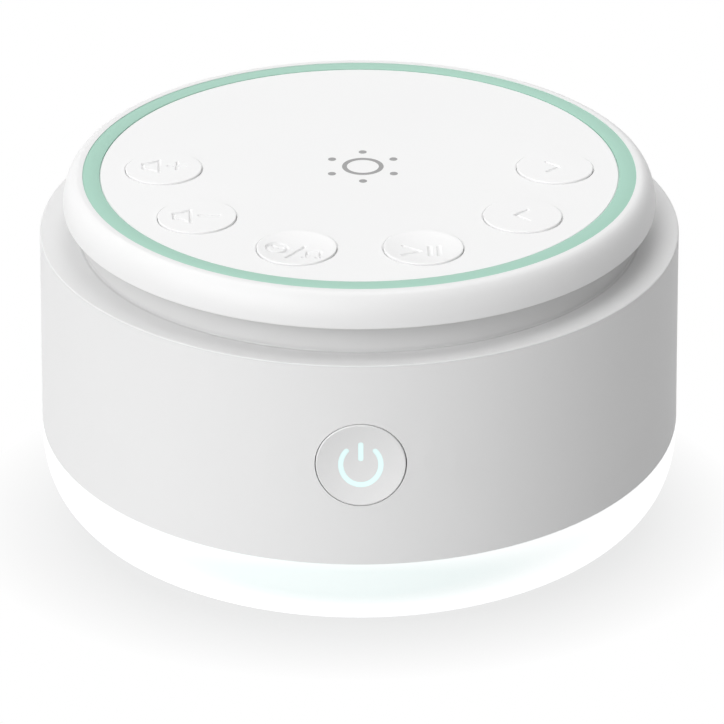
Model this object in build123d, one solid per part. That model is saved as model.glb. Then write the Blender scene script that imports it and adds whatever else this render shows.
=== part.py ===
from build123d import *
from math import atan2, cos, degrees, radians, sin, sqrt
import os

# A bedside white noise machine. Millimetres, +Z up, origin on the floor under the centre,
# front at -Y, right at +X.

# ---------------------------------------------------------------- driving sizes

# Outer form, from the floor up
FOOT_PROUD = 0.6
BASE_CURVE_DROP = 10.4
BASE_CURVE_IN = 7.8
BASE_FULLNESS = 2.3
BASE_STRAIGHT = 2.2
SEAM_R = 51.08
BAND_HEIGHT = 32.5
BAND_TOP_INSET = 1.08
BAND_EDGE_ROUND = 0.22
DECK_WIDTH = 6.4
DECK_FALL = 1.07
NECK_ROOT_ROUND = 0.25
NECK_SHOW = 4.92
NECK_LAP = 1.05
CAP_OVERHANG = 2.6
CAP_LOWER_ROUND = 0.25
CAP_UPPER_IN = 2.5
CAP_UPPER_RISE = 4.77
CAP_RIM = 0.65
RING_WIDTH = 2.54
RING_GROOVE = 0.05
RING_EDGE = 0.15
PANEL_DROP = 0.15
PANEL_T = 2.1
PANEL_EDGE = 0.2
SHELF_LAP = 2.4
CAP_BOSS_WALL = 1.1

# Walls and clearances
WALL = 2.2
NECK_WALL = 2.0
GLOW_WALL = 1.8
FIT_GAP = 0.15
PIECE_GAP = 0.3
SCREW_SLACK = 0.05
RIB_T = 1.6

# Base plate, sound outlet and feet
PLATE_T = 2.0
PLATE_EDGE = 0.3
PLATE_INSET = 2.1
GRILLE_HOLE_R = 1.1
GRILLE_SPACING = 4.0
GRILLE_RINGS = 3
FOOT_R = 5.0
FOOT_RECESS = 1.2
FOOT_EDGE = 0.3
PILLAR_R = 3.2
PLATE_BOSS_WALL = 1.6
PLATE_BOSS_FLOOR = 1.2

# Night light
TONGUE_H = 2.0
TONGUE_T = 1.4
LEDGE_W = 1.5
LEDGE_T = 1.2
LIP_W = 2.3
LIP_T = 1.4
LED_BOARD_DROP = 0.6
REFLECTOR_T = 1.0
REFLECTOR_SLOPE = 1.9
LED_LONG = 3.5
LED_WIDE = 2.8
LED_H = 1.9
LED_COUNT = 12

# Speaker
SPEAKER_R = 20.0
SPEAKER_LAP = 2.4
GASKET_T = 1.6
FRAME_T = 0.8
BASKET_H = 9.0
BASKET_NECK_R = 9.5
BASKET_WINDOWS = 4
WINDOW_W = 9.0
SURROUND_ROLL_R = 1.45
SURROUND_T = 0.4
CONE_T = 0.5
CONE_RISE = 1.2
COIL_R = 5.1
COIL_T = 0.45
COIL_LENGTH = 5.0
DUST_CAP_RISE = 1.5
SPIDER_DROP = 2.5
SPIDER_T = 0.4
TOP_PLATE_R = 11.0
TOP_PLATE_T = 1.2
MAGNET_R = 12.5
MAGNET_T = 4.6
YOKE_T = 1.8
POLE_R = 4.3
GAP_R = 5.5
TAB_REACH = 19.6
TAB_W = 6.0
TAB_T = 0.8
TAB_WELD = 0.2
SEAT_T = 1.0
SEAT_H = 0.4
SPEAKER_BOSS_R = 2.0
SPEAKER_SCREW_HEAD_R = 3.3

# Screws
SCREW_R = 0.95
SCREW_HEAD_R = 1.9
SCREW_HEAD_H = 1.3
SCREW_LENGTH = 5.0
LONG_SCREW_R = 1.25
LONG_SCREW_HEAD_R = 2.4
LONG_SCREW_HEAD_H = 1.5
LONG_SCREW_LENGTH = 8.0
PILOT_SPARE = 0.6

# Circuit boards and switches
BOARD_T = 1.2
BOARD_POST_R = 2.4
BOARD_POST_INSET = 2.9
BOARD_RIM_GAP = 0.8
TONGUE_HALF_W = 8.0
SWITCH_SIDE = 6.0
SWITCH_H = 3.1
PLUNGER_R = 1.75
PLUNGER_PROUD = 0.8
PLUNGER_IN = 0.6
PLUNGER_SLACK = 0.08
KEY_SCREW_CIRCLE = 20.0
KEY_PAD_R = 2.6
CONNECTOR_L = 6.4
CONNECTOR_W = 4.2
CONNECTOR_H = 3.0
TOUCH_PAD_R = 6.0

# Chips on the main board, each as length, width and height
PROCESSOR = (9.0, 9.0, 1.2)
SOUND_STORE = (5.2, 5.2, 1.6)
CHOKE = (5.0, 5.0, 2.8)
AMPLIFIER = (6.0, 5.0, 1.2)
CHARGER = (4.0, 4.0, 1.0)
CHIP_GAP = 4.0
CHIP_ROW_Y = 8.0
CAPACITOR_R = 2.5
CAPACITOR_ROOM = 1.4

# Keys on the panel
KEY_HOLE_R = 6.0
KEY_PROUD = 0.2
KEY_EDGE_ROUND = 0.15
KEY_DISH_R = 5.6
KEY_DISH_DEPTH = 0.4
KEY_TRAVEL = 0.5
KEY_REST_GAP = 0.1
KEY_FLANGE_W = 0.8
KEY_FLANGE_T = 0.9
KEY_WALL = 1.1
KEY_TOP_T = 1.3
KEY_STEM_R = 1.9
KEY_SHELF_GAP = 0.76
KEY_HALF_STEP = 17.9
KEY_STEPS = {
    "volume_up": -5,
    "volume_down": -3,
    "timer": -1,
    "play_pause": 1,
    "previous": 3,
    "next": 5,
}
DISHED_KEYS = ("timer", "play_pause")

# Power key
POWER_HEIGHT = 16.5
POWER_HOLE_R = 6.73
POWER_PROUD = 0.1
POWER_EDGE_ROUND = 0.15
POWER_DISH_R = 6.35
POWER_DISH_DEPTH = 0.8
POWER_TRAVEL = 0.6
POWER_FACE_T = 1.8
POWER_FLANGE_W = 1.2
POWER_FLANGE_T = 1.0
POWER_GUIDE = 5.2
POWER_GUIDE_T = 1.5
POWER_BOARD_HALF_W = 14.0
POWER_BOARD_HALF_H = 7.0
POWER_SCREW_OUT = 11.6
SIGN_HALF_W = 2.93
SIGN_HALF_H = 3.22
SIGN_STROKE = 0.72
SIGN_GAP_ANGLE = 46.0
SIGN_DROP = 0.2
SIGN_BAR_LOW = 0.9
SIGN_BAR_HIGH = 3.3
POWER_LED_RISE = 5.0
POWER_LED_L = 3.2
POWER_LED_W = 1.6
POWER_LED_T = 1.2

# USB-C socket
USB_HEIGHT = 15.0
USB_W = 8.94
USB_H = 3.2
USB_L = 7.35
USB_SHELL_T = 0.3
USB_BACK_T = 1.2
USB_TONGUE_W = 6.7
USB_TONGUE_T = 0.7
USB_TONGUE_BACK = 1.0
USB_CUT_GAP = 0.28
USB_POCKET_W = 13.0
USB_POCKET_H = 7.2
USB_POCKET_DEPTH = 1.0
USB_FACE_BACK = 0.3
USB_OVERHANG = 2.2

# Battery
CELL_L = 48.0
CELL_W = 34.0
CELL_T = 8.0
CELL_EDGE = 1.5
STRAP_W = 12.0
STRAP_T = 1.2
STRAP_BOSS_R = 2.5
STRAP_BOSS_GAP = 1.0
STRAP_EAR_R = 3.2

# Leads and ribbon
LEAD_R = 0.55
LEAD_PITCH = 2.2
LEAD_BEND = 1.6
RIBBON_W = 12.0
RIBBON_T = 0.4
RIBBON_OUT = 2.57
RIBBON_PLUG_OVER = 0.9
RIBBON_PLUG_T = 2.6

# ---------------------------------------------------------------- levels worked out

UNDERSIDE_Z = FOOT_PROUD
SEAM_Z = UNDERSIDE_Z + BASE_CURVE_DROP + BASE_STRAIGHT
BAND_TOP_Z = SEAM_Z + BAND_HEIGHT
DECK_Z = BAND_TOP_Z - DECK_FALL
CEILING_Z = DECK_Z - WALL
CAP_LOW_Z = DECK_Z + NECK_SHOW
CAP_WIDE_Z = CAP_LOW_Z + CAP_LOWER_ROUND
CAP_TOP_Z = CAP_WIDE_Z + CAP_UPPER_RISE
NECK_TOP_Z = CAP_LOW_Z + NECK_LAP
PANEL_TOP_Z = CAP_TOP_Z - PANEL_DROP
PANEL_LOW_Z = PANEL_TOP_Z - PANEL_T

PLATE_TOP_Z = UNDERSIDE_Z + PLATE_T
FOOT_SEAT_Z = UNDERSIDE_Z + FOOT_RECESS
BASE_SCREW_SEAT_Z = FOOT_SEAT_Z + LONG_SCREW_HEAD_H + PIECE_GAP
PILLAR_LOW_Z = BASE_SCREW_SEAT_Z + PLATE_BOSS_FLOOR
GASKET_TOP_Z = PLATE_TOP_Z + GASKET_T
FLANGE_TOP_Z = GASKET_TOP_Z + FRAME_T
BASKET_TOP_Z = FLANGE_TOP_Z + BASKET_H
MAGNET_LOW_Z = BASKET_TOP_Z + TOP_PLATE_T
YOKE_LOW_Z = MAGNET_LOW_Z + MAGNET_T
SPIDER_Z = BASKET_TOP_Z - SPIDER_DROP

LIP_TOP_Z = PLATE_TOP_Z + LIP_T
LED_BOARD_LOW_Z = SEAM_Z - LED_BOARD_DROP
LED_BOARD_TOP_Z = LED_BOARD_LOW_Z + BOARD_T
LEDGE_LOW_Z = LED_BOARD_LOW_Z - LEDGE_T
TONGUE_TOP_Z = SEAM_Z + TONGUE_H

USB_Z = SEAM_Z + USB_HEIGHT
MAIN_BOARD_TOP_Z = USB_Z - USB_H / 2
MAIN_BOARD_LOW_Z = MAIN_BOARD_TOP_Z - BOARD_T
CELL_LOW_Z = CEILING_Z - CELL_T
POWER_Z = SEAM_Z + POWER_HEIGHT

KEY_TOP_Z = PANEL_TOP_Z + KEY_PROUD
KEY_FLANGE_TOP_Z = PANEL_LOW_Z - KEY_REST_GAP
KEY_LOW_Z = KEY_FLANGE_TOP_Z - KEY_FLANGE_T
SWITCH_TOP_Z = KEY_LOW_Z - PLUNGER_PROUD
KEY_BOARD_TOP_Z = SWITCH_TOP_Z - SWITCH_H
KEY_BOARD_LOW_Z = KEY_BOARD_TOP_Z - BOARD_T

# ---------------------------------------------------------------- radii worked out

BAND_TOP_R = SEAM_R - BAND_TOP_INSET
NECK_R = BAND_TOP_R - DECK_WIDTH
NECK_BORE = NECK_R - NECK_WALL
CAP_R = NECK_R + CAP_OVERHANG
CAP_TOP_R = CAP_R - CAP_UPPER_IN
RECESS_R = CAP_TOP_R - CAP_RIM
RING_R = RECESS_R - RING_GROOVE
RING_BORE = RING_R - RING_WIDTH
PANEL_R = RING_BORE - RING_GROOVE
SHELF_BORE = PANEL_R - SHELF_LAP
KEY_R = KEY_HOLE_R - FIT_GAP
KEY_FLANGE_R = KEY_HOLE_R + KEY_FLANGE_W
KEY_CIRCLE = SHELF_BORE - KEY_SHELF_GAP - KEY_FLANGE_R
CAP_BOSS_R = LONG_SCREW_R + SCREW_SLACK + CAP_BOSS_WALL
CAP_BOSS_CIRCLE = NECK_BORE - PIECE_GAP - CAP_BOSS_R
KEY_BOARD_R = CAP_BOSS_CIRCLE - CAP_BOSS_R - PIECE_GAP
CAP_BOSS_ANGLES = (0, 120, 240)

BASE_FLAT_R = SEAM_R - BASE_CURVE_IN
FLANGE_BORE = BASE_FLAT_R - PLATE_INSET
PLATE_R = FLANGE_BORE - FIT_GAP
LIP_BORE = FLANGE_BORE - LIP_W
PLATE_BOSS_R = LONG_SCREW_HEAD_R + FIT_GAP + PLATE_BOSS_WALL
PILLAR_CIRCLE = LIP_BORE - PIECE_GAP - PLATE_BOSS_R
PILLAR_ANGLES = (-45, 45, -135, 135)
BAND_BORE = SEAM_R - WALL
TONGUE_R = BAND_BORE - FIT_GAP
TONGUE_BORE = TONGUE_R - TONGUE_T
LEDGE_BORE = TONGUE_BORE - LEDGE_W
LED_BOARD_R = TONGUE_BORE - FIT_GAP
REFLECTOR_BORE = LIP_BORE + FIT_GAP
REFLECTOR_R = REFLECTOR_BORE + REFLECTOR_T
REFLECTOR_FOOT_R = SEAM_R - GLOW_WALL - BASE_CURVE_IN - PIECE_GAP
LED_BOARD_BORE = REFLECTOR_BORE + FIT_GAP
LED_CIRCLE = (REFLECTOR_R + LEDGE_BORE) / 2

SPEAKER_BORE = SPEAKER_R - SPEAKER_LAP
SPEAKER_SEAT_R = SPEAKER_R + PIECE_GAP
SPEAKER_SCREW_CIRCLE = SPEAKER_SEAT_R + SPEAKER_BOSS_R
SPEAKER_ANGLES = (45, 135, 225, 315)

MAIN_BOARD_R = PILLAR_CIRCLE - PILLAR_R - BOARD_RIM_GAP
BOARD_POST_CIRCLE = MAIN_BOARD_R - BOARD_POST_INSET
BOARD_POST_ANGLES = (-25, 25, -155, 155)
RIBBON_Y = MAIN_BOARD_R + RIBBON_OUT
KEY_SCREW_ANGLES = (0, 120, 240)
STRAP_BOSS_Y = CELL_W / 2 + STRAP_BOSS_GAP + STRAP_BOSS_R


def band_radius(z):
    """Outer radius of the drafted band at a height."""
    return SEAM_R - BAND_TOP_INSET * (z - SEAM_Z) / BAND_HEIGHT


POWER_KEY_R = POWER_HOLE_R - FIT_GAP
POWER_FLANGE_R = POWER_HOLE_R + POWER_FLANGE_W
POWER_GUIDE_R = POWER_HOLE_R + POWER_GUIDE_T
POWER_FACE_Y = -band_radius(POWER_Z)
BAND_DRAFT = degrees(atan2(BAND_TOP_INSET, BAND_HEIGHT))
POWER_GUIDE_Y = POWER_FACE_Y + POWER_GUIDE
POWER_FLANGE_Y = POWER_GUIDE_Y + KEY_REST_GAP
POWER_BACK_Y = POWER_FLANGE_Y + POWER_FLANGE_T
POWER_SWITCH_Y = POWER_BACK_Y + PLUNGER_PROUD
POWER_BOARD_Y = POWER_SWITCH_Y + SWITCH_H
POWER_BOARD_BACK_Y = POWER_BOARD_Y + BOARD_T

USB_POCKET_Y = band_radius(USB_Z) - USB_POCKET_DEPTH
USB_FACE_Y = USB_POCKET_Y - USB_FACE_BACK
USB_REAR_Y = USB_FACE_Y - USB_L
BOARD_TONGUE_Y = USB_FACE_Y - USB_OVERHANG

# ---------------------------------------------------------------- shaping helpers

LOW = (Align.CENTER, Align.CENTER, Align.MIN)


def disc(radius, low, high):
    """Upright cylinder on the axis, between two heights."""
    return Pos(0, 0, low) * extrude(Circle(radius), high - low)


def ring(outer, inner, low, high):
    """Upright tube on the axis, between two heights."""
    return disc(outer, low, high) - disc(inner, low, high)


def post(x, y, radius, low, high):
    """Upright cylinder standing at a place."""
    return Pos(x, y, 0) * disc(radius, low, high)


def block(x, y, low, size_x, size_y, size_z):
    """Upright box centred at a place, standing on a height."""
    return Pos(x, y, low) * extrude(Rectangle(size_x, size_y), size_z)


def turned(*outline):
    """Solid of revolution about the axis, from edges in (radius, height)."""
    return revolve(Plane.XZ * make_face(outline), Axis.Z)


def along_y(shape, front, back, height):
    """Prism from y = front to y = back of a flat shape drawn in (x, z) about a height."""
    return Pos(0, back, height) * Rot(90, 0, 0) * extrude(shape, back - front)


def turned_copies(shape, angles):
    """Copies of a shape made at the front, turned about the axis towards the right."""
    return [Rot(0, 0, angle) * shape for angle in angles]


def group(shapes):
    """Separate solids kept together in one piece list."""
    return Compound(children=[solid for shape in shapes for solid in shape.solids()])


def screw(radius, head_r, head_h, length):
    """Screw pointing down, with the underside of its head at height 0."""
    return disc(head_r, 0, head_h) + disc(radius, -length, 0)


def short_screw(length=SCREW_LENGTH):
    """Small pan-head screw that holds boards and brackets."""
    return screw(SCREW_R, SCREW_HEAD_R, SCREW_HEAD_H, length)


def dish_ball_radius(radius, depth):
    """Radius of the ball that touches the rim and the bottom of a shallow dish."""
    return (radius**2 + depth**2) / (2 * depth)


def dish(radius, depth):
    """Ball that cuts a shallow dish of this radius and depth into a top at height 0."""
    ball_r = dish_ball_radius(radius, depth)
    return Pos(0, 0, ball_r - depth) * Sphere(ball_r)


def base_curve(radius, top, inward, drop):
    """Full quarter curve in (radius, height), straight down at its top, level at its foot."""
    steps = [radians(angle) for angle in range(0, 91, 15)]
    power = 2 / BASE_FULLNESS
    points = [
        (radius - inward * (1 - cos(t) ** power), top - drop * sin(t) ** power)
        for t in steps[:-1]
    ]
    points.append((radius - inward, top - drop))
    return Spline(*points, tangents=[(0, -1), (-1, 0)])


# ---------------------------------------------------------------- base, feet, outlet


def base_plate():
    """Round bottom plate with the sound outlet, foot recesses and speaker seat."""
    plate = disc(PLATE_R, UNDERSIDE_Z, PLATE_TOP_Z)
    plate = chamfer(plate.edges().group_by(Axis.Z)[0], PLATE_EDGE)
    boss = post(0, -PILLAR_CIRCLE, PLATE_BOSS_R, UNDERSIDE_Z, PILLAR_LOW_Z)
    seat = ring(SPEAKER_SEAT_R + SEAT_T, SPEAKER_SEAT_R, UNDERSIDE_Z, GASKET_TOP_Z + SEAT_H)
    plate += turned_copies(boss, PILLAR_ANGLES)
    plate += seat
    plate += turned_copies(speaker_boss(), SPEAKER_ANGLES)
    plate -= turned_copies(foot_pocket(), PILLAR_ANGLES)
    plate -= turned_copies(speaker_boss_hole(), SPEAKER_ANGLES)
    return plate - sound_outlet()


def foot_pocket():
    """Recess for a foot, with the seat and hole of the screw under it."""
    recess = disc(FOOT_R + FIT_GAP, 0, FOOT_SEAT_Z)
    counterbore = disc(LONG_SCREW_HEAD_R + FIT_GAP, 0, BASE_SCREW_SEAT_Z)
    hole = disc(LONG_SCREW_R + FIT_GAP, 0, PILLAR_LOW_Z)
    return Pos(0, -PILLAR_CIRCLE, 0) * (recess + counterbore + hole)


def speaker_boss():
    """Boss beside the speaker whose screw head holds down the rim."""
    return post(0, -SPEAKER_SCREW_CIRCLE, SPEAKER_BOSS_R, UNDERSIDE_Z, FLANGE_TOP_Z)


def speaker_boss_hole():
    """Blind hole for a speaker screw."""
    low = FLANGE_TOP_Z - speaker_screw_length() - PIECE_GAP
    return post(0, -SPEAKER_SCREW_CIRCLE, SCREW_R + SCREW_SLACK, low, FLANGE_TOP_Z)


def speaker_screw_length():
    """A speaker screw stops above the underside of the plate."""
    return FLANGE_TOP_Z - UNDERSIDE_Z - PIECE_GAP - PILOT_SPARE


def sound_outlet():
    """Rings of round holes under the speaker."""
    places = [Pos(0, 0)]
    for number in range(1, GRILLE_RINGS + 1):
        places += PolarLocations(number * GRILLE_SPACING, 6 * number)
    holes = Sketch() + [place * Circle(GRILLE_HOLE_R) for place in places]
    return extrude(holes, PLATE_TOP_Z)


def foot():
    """Rubber foot at the front, pressed into its recess over the screw."""
    pad = disc(FOOT_R, 0, FOOT_SEAT_Z)
    pad = fillet(pad.edges().group_by(Axis.Z)[0], FOOT_EDGE)
    return Pos(0, -PILLAR_CIRCLE, 0) * pad


def base_screws():
    """Long screws up through the plate into the housing's pillars."""
    one = screw(LONG_SCREW_R, LONG_SCREW_HEAD_R, LONG_SCREW_HEAD_H, LONG_SCREW_LENGTH)
    placed = Pos(0, -PILLAR_CIRCLE, BASE_SCREW_SEAT_Z) * Rot(180, 0, 0) * one
    return group(turned_copies(placed, PILLAR_ANGLES))


# ---------------------------------------------------------------- night light


def light_diffuser():
    """Milky moulded skirt, flush with the band, curving in to a flat foot."""
    curve_top = UNDERSIDE_Z + BASE_CURVE_DROP
    inner_drop = curve_top - LIP_TOP_Z
    inner_r = SEAM_R - GLOW_WALL
    return turned(
        Line((SEAM_R, SEAM_Z), (SEAM_R, curve_top)),
        base_curve(SEAM_R, curve_top, BASE_CURVE_IN, BASE_CURVE_DROP),
        Polyline(
            (BASE_FLAT_R, UNDERSIDE_Z),
            (FLANGE_BORE, UNDERSIDE_Z),
            (FLANGE_BORE, PLATE_TOP_Z),
            (LIP_BORE, PLATE_TOP_Z),
            (LIP_BORE, LIP_TOP_Z),
            (inner_r - BASE_CURVE_IN, LIP_TOP_Z),
        ),
        base_curve(inner_r, curve_top, BASE_CURVE_IN, inner_drop),
        Polyline(
            (inner_r, curve_top),
            (inner_r, LEDGE_LOW_Z),
            (LEDGE_BORE, LEDGE_LOW_Z),
            (LEDGE_BORE, LED_BOARD_LOW_Z),
            (TONGUE_BORE, LED_BOARD_LOW_Z),
            (TONGUE_BORE, TONGUE_TOP_Z),
            (TONGUE_R, TONGUE_TOP_Z),
            (TONGUE_R, SEAM_Z),
            (SEAM_R, SEAM_Z),
        ),
    )


def light_reflector():
    """White ring that closes the light chamber inwards and throws light out."""
    return turned(
        Polyline(
            (REFLECTOR_BORE, LIP_TOP_Z),
            (REFLECTOR_FOOT_R, LIP_TOP_Z),
            (REFLECTOR_R, LIP_TOP_Z + REFLECTOR_SLOPE),
            (REFLECTOR_R, LED_BOARD_LOW_Z),
            (REFLECTOR_BORE, LED_BOARD_LOW_Z),
            close=True,
        )
    )


def led_board():
    """Ring-shaped board that carries the night light's lamps."""
    return ring(LED_BOARD_R, LED_BOARD_BORE, LED_BOARD_LOW_Z, LED_BOARD_TOP_Z)


def night_light_leds():
    """Lamps under the ring board."""
    lamp = block(0, -LED_CIRCLE, LED_BOARD_LOW_Z - LED_H, LED_LONG, LED_WIDE, LED_H)
    angles = [(number + 0.5) * 360 / LED_COUNT for number in range(LED_COUNT)]
    return group(turned_copies(lamp, angles))


# ---------------------------------------------------------------- speaker


def basket_radius(z):
    """Inner radius of the speaker's basket at a height."""
    share = (z - FLANGE_TOP_Z) / (BASKET_H - FRAME_T)
    return SPEAKER_BORE - (SPEAKER_BORE - BASKET_NECK_R) * share


def speaker_gasket():
    """Foam ring between the plate and the speaker's rim."""
    return ring(SPEAKER_R, SPEAKER_BORE + FIT_GAP, PLATE_TOP_Z, GASKET_TOP_Z)


def speaker_frame():
    """Pressed steel basket: rim, four legs, back ring and terminal tab."""
    basket = turned(
        Polyline(
            (SPEAKER_BORE, GASKET_TOP_Z),
            (SPEAKER_R, GASKET_TOP_Z),
            (SPEAKER_R, FLANGE_TOP_Z),
            (SPEAKER_BORE + FRAME_T, FLANGE_TOP_Z),
            (BASKET_NECK_R + FRAME_T, BASKET_TOP_Z - FRAME_T),
            (BASKET_NECK_R + FRAME_T, BASKET_TOP_Z),
            (GAP_R, BASKET_TOP_Z),
            (GAP_R, BASKET_TOP_Z - FRAME_T),
            (BASKET_NECK_R, BASKET_TOP_Z - FRAME_T),
            (SPEAKER_BORE, FLANGE_TOP_Z),
            close=True,
        )
    )
    low = FLANGE_TOP_Z + FRAME_T
    high = SPIDER_Z - FRAME_T
    window = block(0, -SPEAKER_BORE + WINDOW_W / 2, low, WINDOW_W, WINDOW_W, high - low)
    step = 360 / BASKET_WINDOWS
    basket -= turned_copies(window, [number * step for number in range(BASKET_WINDOWS)])
    tab_x = -(basket_radius(SPIDER_Z) + TAB_REACH) / 2
    tab_l = TAB_REACH - basket_radius(SPIDER_Z) - TAB_WELD
    return basket + block(tab_x, 0, SPIDER_Z, tab_l, TAB_W, TAB_T)


def speaker_surround():
    """Rubber half roll between the rim and the cone."""
    inner = SPEAKER_BORE - 2 * SURROUND_ROLL_R
    centre = SPEAKER_BORE - SURROUND_ROLL_R
    high = GASKET_TOP_Z + SURROUND_T
    slim = SURROUND_ROLL_R - SURROUND_T
    return turned(
        Line((SPEAKER_BORE, high), (SPEAKER_BORE, GASKET_TOP_Z)),
        CenterArc((centre, GASKET_TOP_Z), SURROUND_ROLL_R, 0, -180),
        Polyline((inner, GASKET_TOP_Z), (inner, high), (centre - slim, high)),
        Line((centre - slim, high), (centre - slim, GASKET_TOP_Z)),
        CenterArc((centre, GASKET_TOP_Z), slim, 180, 180),
        Polyline((centre + slim, GASKET_TOP_Z), (centre + slim, high), (SPEAKER_BORE, high)),
    )


def cone_edge():
    """Outer and inner corner of the cone's underside, in (radius, height)."""
    outer = SPEAKER_BORE - 2 * SURROUND_ROLL_R
    return (outer, GASKET_TOP_Z + SURROUND_T), (COIL_R, SPIDER_Z - CONE_RISE)


def speaker_cone():
    """Paper cone from the surround up to the voice coil."""
    (outer, low), (inner, high) = cone_edge()
    return turned(
        Polyline(
            (outer - CONE_T, low),
            (outer, low),
            (outer, low + CONE_T),
            (inner, high + CONE_T),
            (inner, high),
            close=True,
        )
    )


def speaker_dust_cap():
    """Domed cap over the mouth of the voice coil."""
    (_, _), (inner, high) = cone_edge()
    return turned(
        TangentArc((0, high - DUST_CAP_RISE), (inner, high), tangent=(1, 0)),
        Polyline((inner, high), (inner - COIL_T, high), (0, high - DUST_CAP_RISE + CONE_T)),
        Line((0, high - DUST_CAP_RISE + CONE_T), (0, high - DUST_CAP_RISE)),
    )


def speaker_spider():
    """Flat springy disc that centres the voice coil."""
    return ring(basket_radius(SPIDER_Z), COIL_R, SPIDER_Z - SPIDER_T, SPIDER_Z)


def speaker_voice_coil():
    """Voice coil on its former, reaching into the magnet gap."""
    low = SPIDER_Z - CONE_RISE
    return ring(COIL_R, COIL_R - COIL_T, low, low + COIL_LENGTH)


def speaker_top_plate():
    """Front pole plate on the basket."""
    return ring(TOP_PLATE_R, GAP_R, BASKET_TOP_Z, MAGNET_LOW_Z)


def speaker_magnet():
    """Ring magnet."""
    return ring(MAGNET_R, GAP_R + SEAT_T, MAGNET_LOW_Z, YOKE_LOW_Z)


def speaker_yoke():
    """Back plate with the centre pole."""
    plate = disc(MAGNET_R - SEAT_T, YOKE_LOW_Z, YOKE_LOW_Z + YOKE_T)
    return plate + disc(POLE_R, BASKET_TOP_Z, YOKE_LOW_Z)


def speaker_screws():
    """Wide-headed screws that hold the speaker's rim down."""
    one = screw(SCREW_R, SPEAKER_SCREW_HEAD_R, SCREW_HEAD_H, speaker_screw_length())
    placed = Pos(0, -SPEAKER_SCREW_CIRCLE, FLANGE_TOP_Z) * one
    return group(turned_copies(placed, SPEAKER_ANGLES))


# ---------------------------------------------------------------- main housing


def rounded(face, corner, radius):
    """Round the corner of a flat outline that lies nearest to a point."""
    nearest = min(face.vertices(), key=lambda v: (Vector(*v) - Vector(*corner)).length)
    return fillet(nearest, radius)


def housing_form():
    """Outer form of the housing, solid: band, sloping deck, neck and closed top."""
    outline = make_face(
        Polyline(
            (0, SEAM_Z),
            (SEAM_R, SEAM_Z),
            (BAND_TOP_R, BAND_TOP_Z),
            (NECK_R, DECK_Z),
            (NECK_R, NECK_TOP_Z),
            (NECK_BORE, NECK_TOP_Z),
            (NECK_BORE, DECK_Z),
            (0, DECK_Z),
            close=True,
        )
    )
    outline = rounded(outline, (BAND_TOP_R, BAND_TOP_Z), BAND_EDGE_ROUND)
    outline = rounded(outline, (NECK_R, DECK_Z), NECK_ROOT_ROUND)
    return revolve(Plane.XZ * outline, Axis.Z)


def housing_hollow():
    """Space inside the band, open below."""
    return turned(
        Polyline(
            (0, SEAM_Z),
            (BAND_BORE, SEAM_Z),
            (BAND_TOP_R - WALL, BAND_TOP_Z - WALL),
            (NECK_R, CEILING_Z),
            (0, CEILING_Z),
            close=True,
        )
    )


def pillar():
    """Front pillar with the web that ties it to the band and holds the ring board down."""
    column = post(0, -PILLAR_CIRCLE, PILLAR_R, PILLAR_LOW_Z, DECK_Z - WALL / 2)
    web_l = BAND_TOP_R - PILLAR_CIRCLE
    web_y = -PILLAR_CIRCLE - web_l / 2
    web = block(0, web_y, LED_BOARD_TOP_Z, RIB_T, web_l, CEILING_Z - LED_BOARD_TOP_Z + RIB_T)
    tongue_room = ring(SEAM_R, TONGUE_BORE - FIT_GAP, UNDERSIDE_Z, TONGUE_TOP_Z + FIT_GAP)
    band = disc(BAND_TOP_R - WALL / 2, LED_BOARD_TOP_Z, DECK_Z - WALL / 2)
    return column + ((web & band) - tongue_room)


def hanging_post(x, y, radius, low):
    """Post that hangs from the ceiling of the housing."""
    return post(x, y, radius, low, DECK_Z - WALL / 2)


def pilot(x, y, low, depth):
    """Blind screw hole that opens downwards at a height."""
    return post(x, y, SCREW_R + SCREW_SLACK, low, low + depth)


def guide_and_bosses():
    """Guide tube of the power key and the two bosses of its switch board."""
    tube = along_y(Circle(POWER_GUIDE_R), POWER_FACE_Y, POWER_GUIDE_Y, POWER_Z)
    boss = along_y(Circle(BOARD_POST_R), POWER_FACE_Y, POWER_BOARD_Y, POWER_Z)
    tube += [Pos(side * POWER_SCREW_OUT, 0, 0) * boss for side in (-1, 1)]
    return tube & Cone(band_radius(0), band_radius(BAND_TOP_Z), BAND_TOP_Z, align=LOW)


def front_cuts():
    """Hole of the power key and the blind screw holes beside it."""
    cut = along_y(Circle(POWER_HOLE_R), -SEAM_R - WALL, POWER_GUIDE_Y, POWER_Z)
    hole = along_y(
        Circle(SCREW_R + SCREW_SLACK),
        POWER_BOARD_Y - SCREW_LENGTH + BOARD_T - PILOT_SPARE,
        POWER_BOARD_Y,
        POWER_Z,
    )
    return cut + [Pos(side * POWER_SCREW_OUT, 0, 0) * hole for side in (-1, 1)]


def usb_cuts():
    """Stadium cut-out for the socket and the shallow pocket round it."""
    hole = SlotOverall(USB_W + 2 * USB_CUT_GAP, USB_H + 2 * USB_CUT_GAP)
    pocket = SlotOverall(USB_POCKET_W, USB_POCKET_H)
    cut = along_y(hole, BOARD_TONGUE_Y, SEAM_R, USB_Z)
    return cut + along_y(pocket, USB_POCKET_Y, SEAM_R, USB_Z)


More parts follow.
